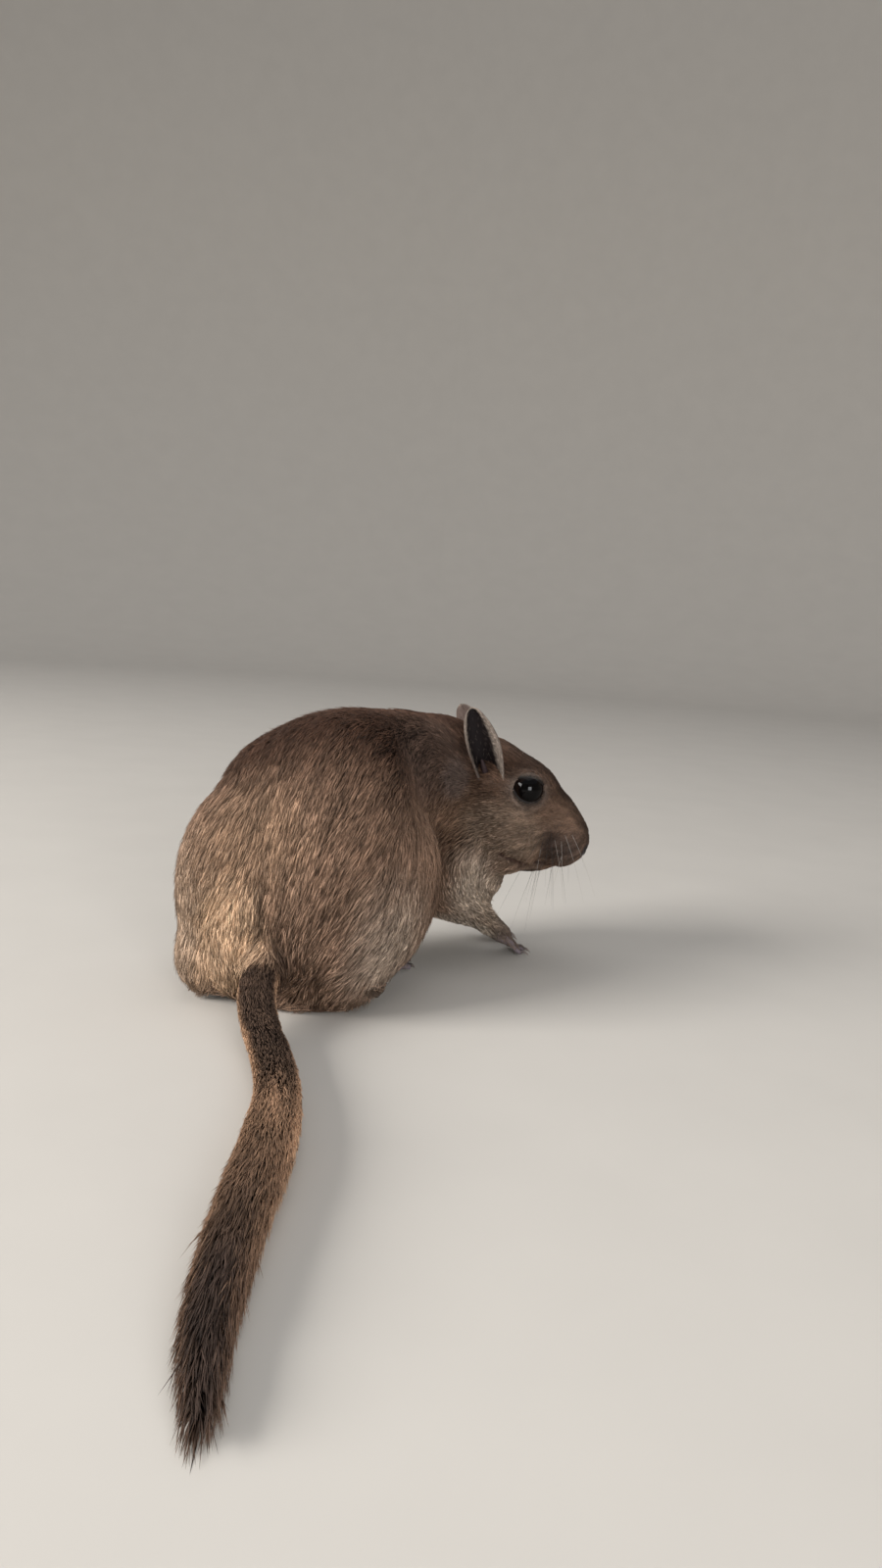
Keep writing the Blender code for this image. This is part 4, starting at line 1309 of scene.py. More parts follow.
    def shape_head_fields(self, fields: Array, local: Array, region: Array) -> None:
        """Shortens and thins the coat towards the nose and round the eyes.

        Args:
            fields: The coat's fields, in the order of FIELDS, which are changed in place.
            local: Places in the head's frame.
            region: The region value of each.
        """
        head = np.isin(region, (Region.HEAD.value, Region.NECK.value)).astype(float)
        muzzle = smoothstep(-6.0, 13.0, local[:, 0]) * head
        fields[:, :2] *= 1 - 0.7 * muzzle[:, None]
        fields[:, 2] *= 1 - 0.62 * muzzle
        fields[:, 3] *= 1 - 0.3 * muzzle
        fields[:, 5] *= 1 + 0.5 * muzzle
        for sign in (1, -1):
            eye = np.linalg.norm(local - np.array(EYES.place) * [1, sign, 1], axis=1)
            near = smoothstep(7.0, 4.4, eye)
            fields[:, :2] *= 1 - 0.45 * near[:, None]
            fields[:, 2] *= 1 - 0.5 * near
            fields[:, 3] *= 1 - 0.2 * near

    def carve_face(self, points: Array, edges: Array, triangles: Array, fields: Array) -> list[tuple[Tint, Array]]:
        """Presses in the mouth, the nostrils and the seats of the eyes, and clears the coat from them.

        Args:
            points: The skin's points, which are changed in place.
            edges: Its edges.
            triangles: Its triangles.
            fields: The coat's fields, whose counts of tufts are changed in place.

        Returns:
            The colours of bare skin and the painted shade in the nostrils, with the share of each at every vertex.
        """
        normals = normals_of(points, triangles)
        tree = BVHTree.FromPolygons(points.tolist(), triangles.tolist())
        line = MOUTH.line(tree)
        near = np.min(np.linalg.norm(points[:, None] - line[None, ::3], axis=2), axis=1)
        points -= normals * (0.95 * smoothstep(1.0, 0.1, near))[:, None]
        fields[:, 2] = np.minimum(fields[:, 2], 0.5 + 0.8 * near)
        fields[:, 4:6] *= smoothstep(0.35, 0.7, near)[:, None]
        lips = smoothstep(1.1, 0.5, near)
        nose = np.zeros(len(points))
        cleft = HEAD.world(np.array([eased([np.array(p) for p in MOUTH.cleft], t) for t in np.linspace(0, 1, 12)]))
        gap = np.min(np.linalg.norm(points[:, None] - cleft[None], axis=2), axis=1)
        points -= normals * (0.3 * smoothstep(0.6, 0.1, gap))[:, None]
        nose = np.maximum(nose, smoothstep(0.9, 0.4, gap))
        shaded_nostrils = np.zeros(len(points))
        for side in Side:
            x, y, z = MOUTH.nostril
            spot = HEAD.world(np.array([[x, y * side.value, z]]))[0]
            way = np.linalg.norm((HEAD.local(points) - [x, y * side.value, z]) / [1.15, 0.75, 0.6], axis=1)
            points -= normals * (0.8 * smoothstep(1.0, 0.3, way))[:, None]
            # painted shade: the nostril pits are coloured near-black for the shade inside the nostrils
            shaded_nostrils = np.maximum(shaded_nostrils, smoothstep(1.1, 0.7, way))
            reach = np.linalg.norm(points - spot, axis=1)
            nose = np.maximum(nose, smoothstep(2.0, 1.1, reach))
            centre = EYES.centre(side)
            away = points - centre
            distance = np.linalg.norm(away, axis=1)
            look = np.array(EYES.frame(side).to_3x3())[:, 2]
            facing = (away @ look) / np.maximum(distance, 1e-6)
            seat = (distance < EYES.radius + 1.4) & (facing > 0.52)
            points[seat] = centre + away[seat] / distance[seat][:, None] * (EYES.radius - 0.7)
            fields[:, 4:6] *= np.where((distance < EYES.radius + 0.3) & (facing > 0.45), 0.0, 1.0)[:, None]
        fields[:, 4:6] *= ((1 - 0.85 * nose) * (1 - shaded_nostrils))[:, None]
        return [(Tint.LIP, lips * 0.9), (Tint.NOSE, nose), (Tint.LID, shaded_nostrils)]


# Feet


def digit_stops(root: Array, way: Array, reach: float, radius: float, lift: float) -> list[tuple[Triple, float]]:
    """A toe or finger with a knuckle and a rounded tip pad.

    Args:
        root: Where it leaves the foot.
        way: Its level unit direction.
        reach: Its length.
        radius: Its thickness by half.
        lift: How high its knuckle stands.

    Returns:
        Places and radii from the foot to the tip.
    """
    start = root - way * radius * 1.4
    knuckle = root + way * reach * 0.45
    knuckle = np.array([knuckle[0], knuckle[1], root[2] * 0.55 + radius * 0.6 + lift])
    joint = root + way * reach * 0.78
    joint = np.array([joint[0], joint[1], radius * 1.25])
    end = root + way * reach
    end = np.array([end[0], end[1], radius * 0.95])
    return [
        (tuple(start), radius * 1.05),
        (tuple(knuckle), radius * 0.92),
        (tuple(joint), radius * 0.78),
        (tuple(end), radius * 0.92),
    ]


def fan(ahead: Array, lengths: Sequence[float], angle: float, spacing: float) -> list[tuple[Array, Array, float]]:
    """Spreads digits in a fan.

    Args:
        ahead: The foot's level unit direction.
        lengths: Each digit's share of the full reach.
        angle: Degrees from digit to digit.
        spacing: Half the width of the row of roots.

    Returns:
        For each digit, its sideways shift, its direction and its share of the reach.
    """
    across = np.array([-ahead[1], ahead[0], 0.0])
    middle = (len(lengths) - 1) / 2
    made = []
    for k, share in enumerate(lengths):
        turn = math.radians(angle * (k - middle) * 0.55)
        way = ahead * math.cos(turn) + across * math.sin(turn)
        made.append((across * spacing * (k - middle) / middle, way, share))
    return made


def claw(end: Array, way: Array, length: float, radius: float) -> tuple[Array, list[Array]]:
    """A curved claw that grows from a digit's tip down to the floor.

    Args:
        end: The centre of the digit's tip.
        way: The digit's level unit direction.
        length: How far it reaches past the centre.
        radius: Its thickness by half at the foot.

    Returns:
        Its points and faces.
    """
    shares = np.linspace(0, 1, 7)
    rise = np.sin(shares * math.pi * 0.55) * 0.45
    heights = (end[2] + 0.15 + rise) * (1 - shares**1.6) + 0.12 * shares
    middle = end[None] + way[None] * (shares * length)[:, None]
    middle[:, 2] = heights
    return tapered_rod(middle, radius * (1 - shares) ** 0.7 + 0.03, 8)


@dataclass(frozen=True)
class Paw:
    """A forefoot: a small palm, and four fingers with claws."""

    side: Side
    palm: Triple = (4.4, 2.6, 2.0)
    finger_radius: float = 0.8
    finger_fan: float = 20.0
    finger_shares: tuple[float, ...] = (0.75, 1.0, 1.0, 0.78)
    claw_length: float = 1.9

    def digits(self) -> list[list[tuple[Triple, float]]]:
        """Each finger as places and radii."""
        arm = ARMS[self.side]
        knuckles, tips = np.array(arm.knuckles), np.array(arm.fingertips)
        ahead = unit((tips - knuckles) * [1, 1, 0])
        reach = float(np.linalg.norm((tips - knuckles)[:2]))
        root = knuckles - [0, 0, 0.7]
        return [
            digit_stops(root + shift, way, reach * share, self.finger_radius, 0.25)
            for shift, way, share in fan(ahead, self.finger_shares, self.finger_fan, 1.75)
        ]

    def flesh(self) -> list[Part]:
        """The forefoot's flesh, as overlapping parts."""
        arm = ARMS[self.side]
        wrist, knuckles = np.array(arm.wrist), np.array(arm.knuckles)
        along = Vector(knuckles - wrist).to_track_quat("X", "Z").to_matrix().to_4x4()
        parts = [ball(wrist * 0.55 + knuckles * 0.45, self.palm, along)]
        parts += limb([(wrist * 1.3 - knuckles * 0.3, 2.7), (wrist, 2.4), (knuckles, 2.0)])
        for stops in self.digits():
            parts += limb(stops)
        return parts

    def claws(self) -> list[tuple[Array, list[Array]]]:
        """Each claw as points and faces."""
        made = []
        for stops in self.digits():
            joint, end = np.array(stops[-2][0]), np.array(stops[-1][0])
            made.append(claw(end, unit((end - joint) * [1, 1, 0]), self.claw_length, 0.36))
        return made


@dataclass(frozen=True)
class HindFoot:
    """A long hind foot: heel, narrow instep, broad ball and five toes with claws."""

    side: Side
    toe_radius: float = 0.9
    toe_fan: float = 17.0
    toe_shares: tuple[float, ...] = (0.55, 0.9, 1.0, 0.92, 0.6)
    claw_length: float = 2.3

    def plan(self) -> tuple[Array, Array, Array]:
        """Heel, ball and middle toe on the floor plan."""
        foot = FEET[self.side]
        return tuple(np.array([*p, 0.0]) for p in (foot.heel, foot.ball, foot.toe))

    def digits(self) -> list[list[tuple[Triple, float]]]:
        """Each toe as places and radii."""
        heel, ball, toe = self.plan()
        ahead = unit(toe - ball)
        reach = float(np.linalg.norm(toe - ball))
        root = ball + [0, 0, 1.3]
        return [
            digit_stops(root + shift, way, reach * share, self.toe_radius, 0.35)
            for shift, way, share in fan(ahead, self.toe_shares, self.toe_fan, 2.3)
        ]

    def flesh(self) -> list[Part]:
        """The hind foot's flesh, as overlapping parts."""
        heel, ball_place, _ = self.plan()
        up = np.array([0, 0, 1.0])
        instep = heel * 0.55 + ball_place * 0.45
        parts = limb([(heel + up * 2.1, 2.1), (instep + up * 1.9, 1.85), (ball_place + up * 1.75, 1.7)])
        ahead = unit(ball_place - heel)
        turn = Vector(ahead).to_track_quat("X", "Z").to_matrix().to_4x4()
        parts.append(ball(ball_place - ahead * 1.2 + up * 1.6, (4.2, 3.1, 1.5), turn))
        for stops in self.digits():
            parts += limb(stops)
        return parts

    def claws(self) -> list[tuple[Array, list[Array]]]:
        """Each claw as points and faces."""
        made = []
        for stops in self.digits():
            joint, end = np.array(stops[-2][0]), np.array(stops[-1][0])
            made.append(claw(end, unit((end - joint) * [1, 1, 0]), self.claw_length, 0.5))
        return made


# Ears


@dataclass(frozen=True)
class Ear:
    """A thin upright cup with a rolled front rim and a lobe in front of the ear's opening."""

    side: Side
    root: Triple = (-7.6, 9.0, -0.8)
    length: float = 15.2
    half_width: float = 2.3
    widest: float = 0.55
    depth: float = 2.5
    wall: float = 0.5
    lean_back: tuple[float, float] = (33.0, 46.0)  # the near ear and the far one, which is laid further back
    lean_out: float = 17.0
    turn: float = 2.0
    flare: float = 0.9  # how far the front rim rolls forward
    rings: int = 30
    sides: int = 26

    def matrix(self) -> Matrix:
        """The ear's frame: its mouth to +Y and its tip to +Z."""
        sign = self.side.value
        place = Matrix.Translation(Vector((self.root[0], self.root[1] * sign, self.root[2])))
        back = self.lean_back[self.side is Side.LEFT]
        lean = Euler((math.radians(-self.lean_out * sign), math.radians(-back), 0), "XYZ")
        turn = Matrix.Rotation(math.radians(-self.turn * sign), 4, "Z")
        return HEAD.matrix() @ place @ lean.to_matrix().to_4x4() @ turn @ Matrix.Diagonal((1, sign, 1, 1))

    def width_share(self, t: float) -> float:
        """How wide the ear is at a share of its height."""
        if t < self.widest:
            return 0.68 + 0.32 * t / self.widest
        return math.sqrt(max(0.012, 1 - ((t - self.widest) / (1 - self.widest)) ** 2.6))

    def build(self) -> tuple[bpy.types.Mesh, Pelt]:
        """Builds the cup and the fields of its short coat.

        Returns:
            The ear's mesh, and its pelt.
        """
        inner, outer, rim_share, height_share = [], [], [], []
        for r in range(self.rings):
            t = math.sin(math.pi / 2 * (0.06 + 0.94 * r / (self.rings - 1)))
            height = self.length * (1.2 * t - 0.2)
            width = self.half_width * self.width_share(t)
            depth = self.depth * (1.15 - 0.75 * t)
            wrap = math.radians(eased((128.0, 112.0, 96.0, 84.0, 74.0), t))
            angles = np.linspace(-wrap, wrap, self.sides)
            edge = np.abs(np.linspace(-1, 1, self.sides))
            wall = self.wall * (1.0 - 0.35 * t) * (0.75 + 0.5 * edge**6)
            for row, push in ((inner, 0.0), (outer, 1.0)):
                x = np.sin(angles) * (width + wall * push)
                y = -np.cos(angles) * (depth + wall * push) + depth * math.cos(wrap) - 1.2 * t * t
                flare = smoothstep(0.55, 1.0, np.linspace(-1, 1, self.sides)) * math.sin(math.pi * min(1, t * 1.1))
                x += flare * self.flare
                y -= flare * self.flare * 0.5
                row.append(np.stack([x, y, np.full_like(x, height)], axis=1))
            rim_share.append(np.maximum(edge, smoothstep(0.9, 1.0, np.full(self.sides, t))))
            height_share.append(np.full(self.sides, t))
        rings = np.array([np.concatenate([o, i[::-1]]) for o, i in zip(outer, inner)])
        points, faces = swept(rings)
        rim = np.array([np.concatenate([e, e[::-1]]) for e in rim_share]).ravel()
        height = np.array([np.concatenate([h, h]) for h in height_share]).ravel()
        inside = np.tile(np.concatenate([np.zeros(self.sides), np.ones(self.sides)]), self.rings)
        matrix = np.array(self.matrix())
        placed = points @ matrix[:3, :3].T + matrix[:3, 3]
        if self.side is Side.RIGHT:
            faces = [f[:, ::-1] for f in faces]
        signed = np.tile(np.concatenate([np.linspace(-1, 1, self.sides), np.linspace(1, -1, self.sides)]), self.rings)
        rear_rim = smoothstep(0.88, 0.98, rim) * (0.25 + 0.75 * smoothstep(0.45, 0.75, height))
        rim_weight = np.maximum(rear_rim, smoothstep(0.55, 0.8, signed))
        lobe, lobe_faces = ball((-0.6, -0.9, 2.2), (0.55, 0.6, 2.6))
        lobe = lobe @ matrix[:3, :3].T + matrix[:3, 3]
        mesh = mesh_from(f"ear_{self.side.word}", *merged([(placed, faces), (lobe, lobe_faces)]))
        triangles, edges = triangles_of(mesh), edges_of(mesh)
        triangles = triangles[np.all(triangles < len(placed), axis=1)]
        edges = edges[np.all(edges < len(placed), axis=1)]
        normals = normals_of(placed, triangles)
        back, deep, pale = tint_row(Tint.EAR_BACK), tint_row(Tint.EAR_INSIDE), tint_row(Tint.EAR_RIM)
        within = inside[:, None] > 0.5
        hide = np.where(within, deep, back * 0.8)
        hide = hide + (pale * 0.7 - hide) * (rim_weight * 0.6)[:, None]
        hide = np.concatenate([hide, np.tile(tint_row(Tint.EAR_LOBE), (len(lobe), 1))])
        set_colour(mesh, "marking", hide)
        marking = np.where(within, pale * 0.3, back)
        marking = marking + (pale - marking) * rim_weight[:, None]
        lie = np.tile(matrix[:3, 2], (len(placed), 1)) - matrix[:3, 0][None] * (signed * rim_weight * 0.7)[:, None]
        lie = unit(lie - normals * np.sum(lie * normals, axis=1, keepdims=True))
        count = len(placed)
        none = np.zeros(count)
        unders = np.where(inside > 0.5, 1.0, 14.0) + 24.0 * rim_weight
        return mesh, Pelt(
            placed, triangles, edges, normals, np.full(count, Region.HEAD.value), lie,
            0.1 + 0.12 * rim_weight, np.where(inside > 0.5, 1.1, 1.8), np.full(count, 0.1), none + 0.8, unders, none, marking, none > 1,
        )


# Eyes, claws and whiskers


@dataclass(frozen=True)
class Eye:
    """A glossy eyeball with a slightly steeper cornea, and the dark rim of the lids round it."""

    side: Side
    cornea_rise: float = 0.12
    lid_steps: int = 72
    lid_profile: tuple[tuple[float, float], ...] = (
        (-0.12, 0.0), (0.0, 0.16), (0.16, 0.3), (0.34, 0.36), (0.66, 0.32), (1.2, 0.06), (1.75, -0.5),
    )  # out of the margin, and out of the eyeball

    def ball(self) -> bpy.types.Object:
        """Builds the eyeball in place of its solid.

        Returns:
            The eyeball.
        """
        bm = bmesh.new()
        bmesh.ops.create_uvsphere(bm, u_segments=64, v_segments=40, radius=EYES.radius)
        mesh = bpy.data.meshes.new(f"eyeball_{self.side.word}")
        bm.to_mesh(mesh)
        bm.free()
        points = np.zeros(len(mesh.vertices) * 3, np.float32)
        mesh.vertices.foreach_get("co", points)
        points = points.reshape(-1, 3).astype(float)
        facing = points[:, 2] / EYES.radius
        points *= (1 + self.cornea_rise / EYES.radius * smoothstep(0.55, 1.0, facing))[:, None]
        off_axis = np.clip(np.sqrt(np.maximum(0, 1 - facing**2)), 0, 1) + (facing < 0)
        matrix = np.array(EYES.frame(self.side))
        placed = (points @ matrix[:3, :3].T + matrix[:3, 3]) * MM
        mesh.vertices.foreach_set("co", placed.astype(np.float32).ravel())
        mesh.polygons.foreach_set("use_smooth", np.ones(len(mesh.polygons), bool))
        set_scalar(mesh, "off_axis", off_axis)
        mesh.update()
        ball = new_object(f"eyeball_{self.side.word}", mesh)
        ball.data.materials.append(EYE_MATERIAL)
        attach(ball, "root")
        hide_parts(f"eye_{self.side.word}")
        return ball

    def lids(self) -> tuple[bpy.types.Object, Pelt]:
        """Builds the rim of both lids, from the wet edge to a skirt that goes under the skin.

        Returns:
            The lids, and their pelt.
        """
        angles = np.linspace(0, 2 * math.pi, self.lid_steps, endpoint=False)
        rings = []
        for outward, rise in self.lid_profile:
            x, y = EYES.margin(self.side, angles, outward)
            flat = np.stack([x, y], axis=1)
            reach = np.linalg.norm(flat, axis=1)
            limit = EYES.radius * 0.985
            flat *= np.minimum(1.0, limit / reach)[:, None]
            height = np.sqrt(np.maximum(0.05, EYES.radius**2 - np.sum(flat**2, axis=1)))
            place = np.concatenate([flat, height[:, None]], axis=1)
            beyond = np.concatenate([unit(flat), np.full((len(flat), 1), -0.6)], axis=1)
            over = np.maximum(0.0, reach - limit)
            rings.append(place + unit(place) * rise + beyond * over[:, None])
        points, (quads,) = swept(np.array(rings).transpose(1, 0, 2), closed=True, capped=False)
        steps = len(self.lid_profile)
        strip = quads.reshape(self.lid_steps, steps, 4)[:, :-1].reshape(-1, 4)
        matrix = np.array(EYES.frame(self.side))
        placed = points @ matrix[:3, :3].T + matrix[:3, 3]
        if self.side is Side.LEFT:
            strip = strip[:, ::-1]
        mesh = mesh_from(f"eyelids_{self.side.word}", placed, [strip])
        shares = np.tile(np.linspace(0, 1, steps), self.lid_steps)
        dark, ring = tint_row(Tint.LID), tint_row(Tint.EYE_RING)
        set_colour(mesh, "marking", dark + (ring * 0.5 - dark) * smoothstep(0.24, 0.5, shares)[:, None])
        lids = new_object(mesh.name, mesh)
        lids.data.materials.append(LID_MATERIAL)
        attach(lids, "root")
        triangles = triangles_of(mesh)
        normals = normals_of(placed, triangles)
        outward = np.sum(normals * (placed - EYES.centre(self.side)), axis=1, keepdims=True)
        normals = normals * np.sign(outward)
        back = np.tile(-HEAD.axes()[0] - HEAD.axes()[2] * 0.2, (len(placed), 1))
        lie = unit(back - normals * np.sum(back * normals, axis=1, keepdims=True))
        count = len(placed)
        growing = smoothstep(0.24, 0.45, shares)
        return lids, Pelt(
            placed, triangles, edges_of(mesh), normals, np.full(count, Region.HEAD.value), lie,
            np.full(count, 0.22), np.full(count, 1.1), np.full(count, 0.1), growing * 3, growing * 40,
            np.zeros(count), np.tile(ring, (count, 1)), np.zeros(count, bool),
        )


@dataclass(frozen=True)
class Whiskers:
    """Rows of long tapered whiskers on both sides of the muzzle."""

    rows: int = 4
    columns: int = 5
    foot: Triple = (5.4, 5.2, -6.6)
    step_back: float = 1.25
    step_down: float = 1.1
    radius: float = 0.036

    def roots(self) -> list[tuple[Array, Array, float]]:
        """Root, direction and length of each whisker on the head's left, in the head's frame."""
        made = []
        for row in range(self.rows):
            for column in range(self.columns):
                x = self.foot[0] + column * self.step_back
                z = self.foot[2] - row * self.step_down + 0.25 * column * (1.5 - row) * 0.3
                y = self.foot[1] - 0.14 * column**1.6 + 0.1 * row
                length = 21.0 - 2.2 * column - 1.6 * row
                way = np.array([-0.12 + 0.1 * column, 0.75, -0.35 - 0.18 * row])
                made.append((np.array([x, y, z]), unit(way), length))
        return made

    def build(self, tree: BVHTree, draw: np.random.Generator) -> list[bpy.types.Object]:
        """Builds the whiskers of both sides, dark ones and pale ones.

        Args:
            tree: The skin, in millimetres, on which they are rooted.
            draw: The source of chance.

        Returns:
            The two pieces.
        """
        dark, pale = [], []
        for side in Side:
            mirror = np.array([1.0, side.value, 1.0])
            for root, way, length in self.roots():
                start = HEAD.world((root * mirror)[None])[0]
                place = np.array(tree.find_nearest(Vector(start))[0])
                jitter = draw.normal(0, 0.2, 3)
                direction = unit((unit(way + jitter) * mirror) @ HEAD.axes())
                share = np.linspace(0, 1, 14)
                reach = length * draw.uniform(0.55, 1.05)
                droop = draw.uniform(0.25, 0.6)
                middle = place + direction * (share * reach)[:, None] - direction * 0.4
                middle = middle + np.array([0, 0, -1.0]) * (droop * reach * 0.55 * share**2)[:, None]
                middle[:, 2] = np.maximum(middle[:, 2], 0.3)
                radii = self.radius * (1 - share * 0.85)
                (dark if draw.random() < 0.6 else pale).append(tapered_rod(middle, radii, 5))
        made = []
        for name, rods, material in (
            ("whiskers_dark", dark, WHISKER_DARK_MATERIAL),
            ("whiskers_pale", pale, WHISKER_PALE_MATERIAL),
        ):
            points, faces = merged(rods)
            mesh = mesh_from(name, points, faces)
            set_scalar(mesh, "along", np.tile(np.repeat(np.linspace(0, 1, 14), 5), len(rods)))
            piece = new_object(name, mesh)
            piece.data.materials.append(material)
            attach(piece, "root")
            made.append(piece)
        return made


def build_claws() -> list[bpy.types.Object]:
    """Builds the claws of the four feet, one piece a foot.

    Returns:
        The four pieces.
    """
    made = []
    for side in Side:
        for name, foot in (("fore", Paw(side)), ("hind", HindFoot(side))):
            claws = foot.claws()
            points, faces = merged(claws)
            mesh = mesh_from(f"claws_{name}_{side.word}", points, faces)
            set_scalar(mesh, "along", np.tile(np.repeat(np.linspace(0, 1, 7), 8), len(claws)))
            piece = new_object(mesh.name, mesh)
            piece.data.materials.append(CLAW_MATERIAL)
            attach(piece, "root")
            made.append(piece)
    return made


# The coat


class Layer(Enum):
    """The two layers of a coat."""

    GUARD = "guards"
    UNDER = "unders"


@dataclass(frozen=True)
class TuftPlan:
    """How tufts are shaped and gathered."""

    clump: int = 8  # tufts that draw together at their tips
    gather: float = 0.36
    stray: float = 0.12  # radians off the lie
    flatness: float = 0.45  # thickness over width
    root_sink: float = 0.3  # at most, and less under short fur
    under_length: float = 0.68  # of a guard tuft's
    under_width: float = 1.1
    tone_spread: float = 0.12  # from clump to clump
    patch: float = 0.003  # a tuft's share of the coat's map, across


@dataclass
class Tufts:
    """Tufts as rows of arrays, ready to be written in pieces."""

    root: Array
    normal: Array
    side: Array
    foot: Array
    middle: Array
    tip: Array
    width: Array
    marking: Array
    ticking: Array
    region: Array

    def picked(self, chosen: Array) -> "Tufts":
        """Some of the tufts."""
        return Tufts(*(values[chosen] for values in vars(self).values()))

    def curved(self, plan: TuftPlan) -> tuple[Array, list[Array], Array]:
        """Shapes the tufts as three-sided prisms with a bend in the middle and a point.

        Args:
            plan: Their shape.

        Returns:
            Points by tuft, faces, and the place along the tuft of each point of one tuft.
        """
        half = self.side * (self.width / 2)[:, None]
        crest = self.normal * (self.width * plan.flatness)[:, None]
        rows = [
            self.foot - half * 0.8, self.foot + half * 0.8, self.foot + crest * 0.8,
            self.middle - half, self.middle + half, self.middle + crest, self.tip,
        ]
        base = (np.arange(len(self.root)) * 7)[:, None]
        quads = np.concatenate([base + q for q in ([0, 1, 4, 3], [1, 2, 5, 4], [2, 0, 3, 5])])
        tris = np.concatenate([base + t for t in ([3, 4, 6], [4, 5, 6], [5, 3, 6], [0, 2, 1])])
        return np.stack(rows, axis=1), [quads, tris], np.array([0, 0, 0, 0.5, 0.5, 0.5, 1.0])

    def straight(self, plan: TuftPlan) -> tuple[Array, list[Array], Array]:
        """Shapes the tufts as three-sided spikes.

        Args:
            plan: Their shape.

        Returns:
            Points by tuft, faces, and the place along the tuft of each point of one tuft.
        """
        half = self.side * (self.width / 2)[:, None]
        crest = self.normal * (self.width * plan.flatness)[:, None]
        rows = [self.foot - half, self.foot + half, self.foot + crest, self.tip]
        base = (np.arange(len(self.root)) * 4)[:, None]
        tris = np.concatenate([base + t for t in ([0, 1, 3], [1, 2, 3], [2, 0, 3], [0, 2, 1])])
        return np.stack(rows, axis=1), [tris], np.array([0, 0, 0, 1.0])


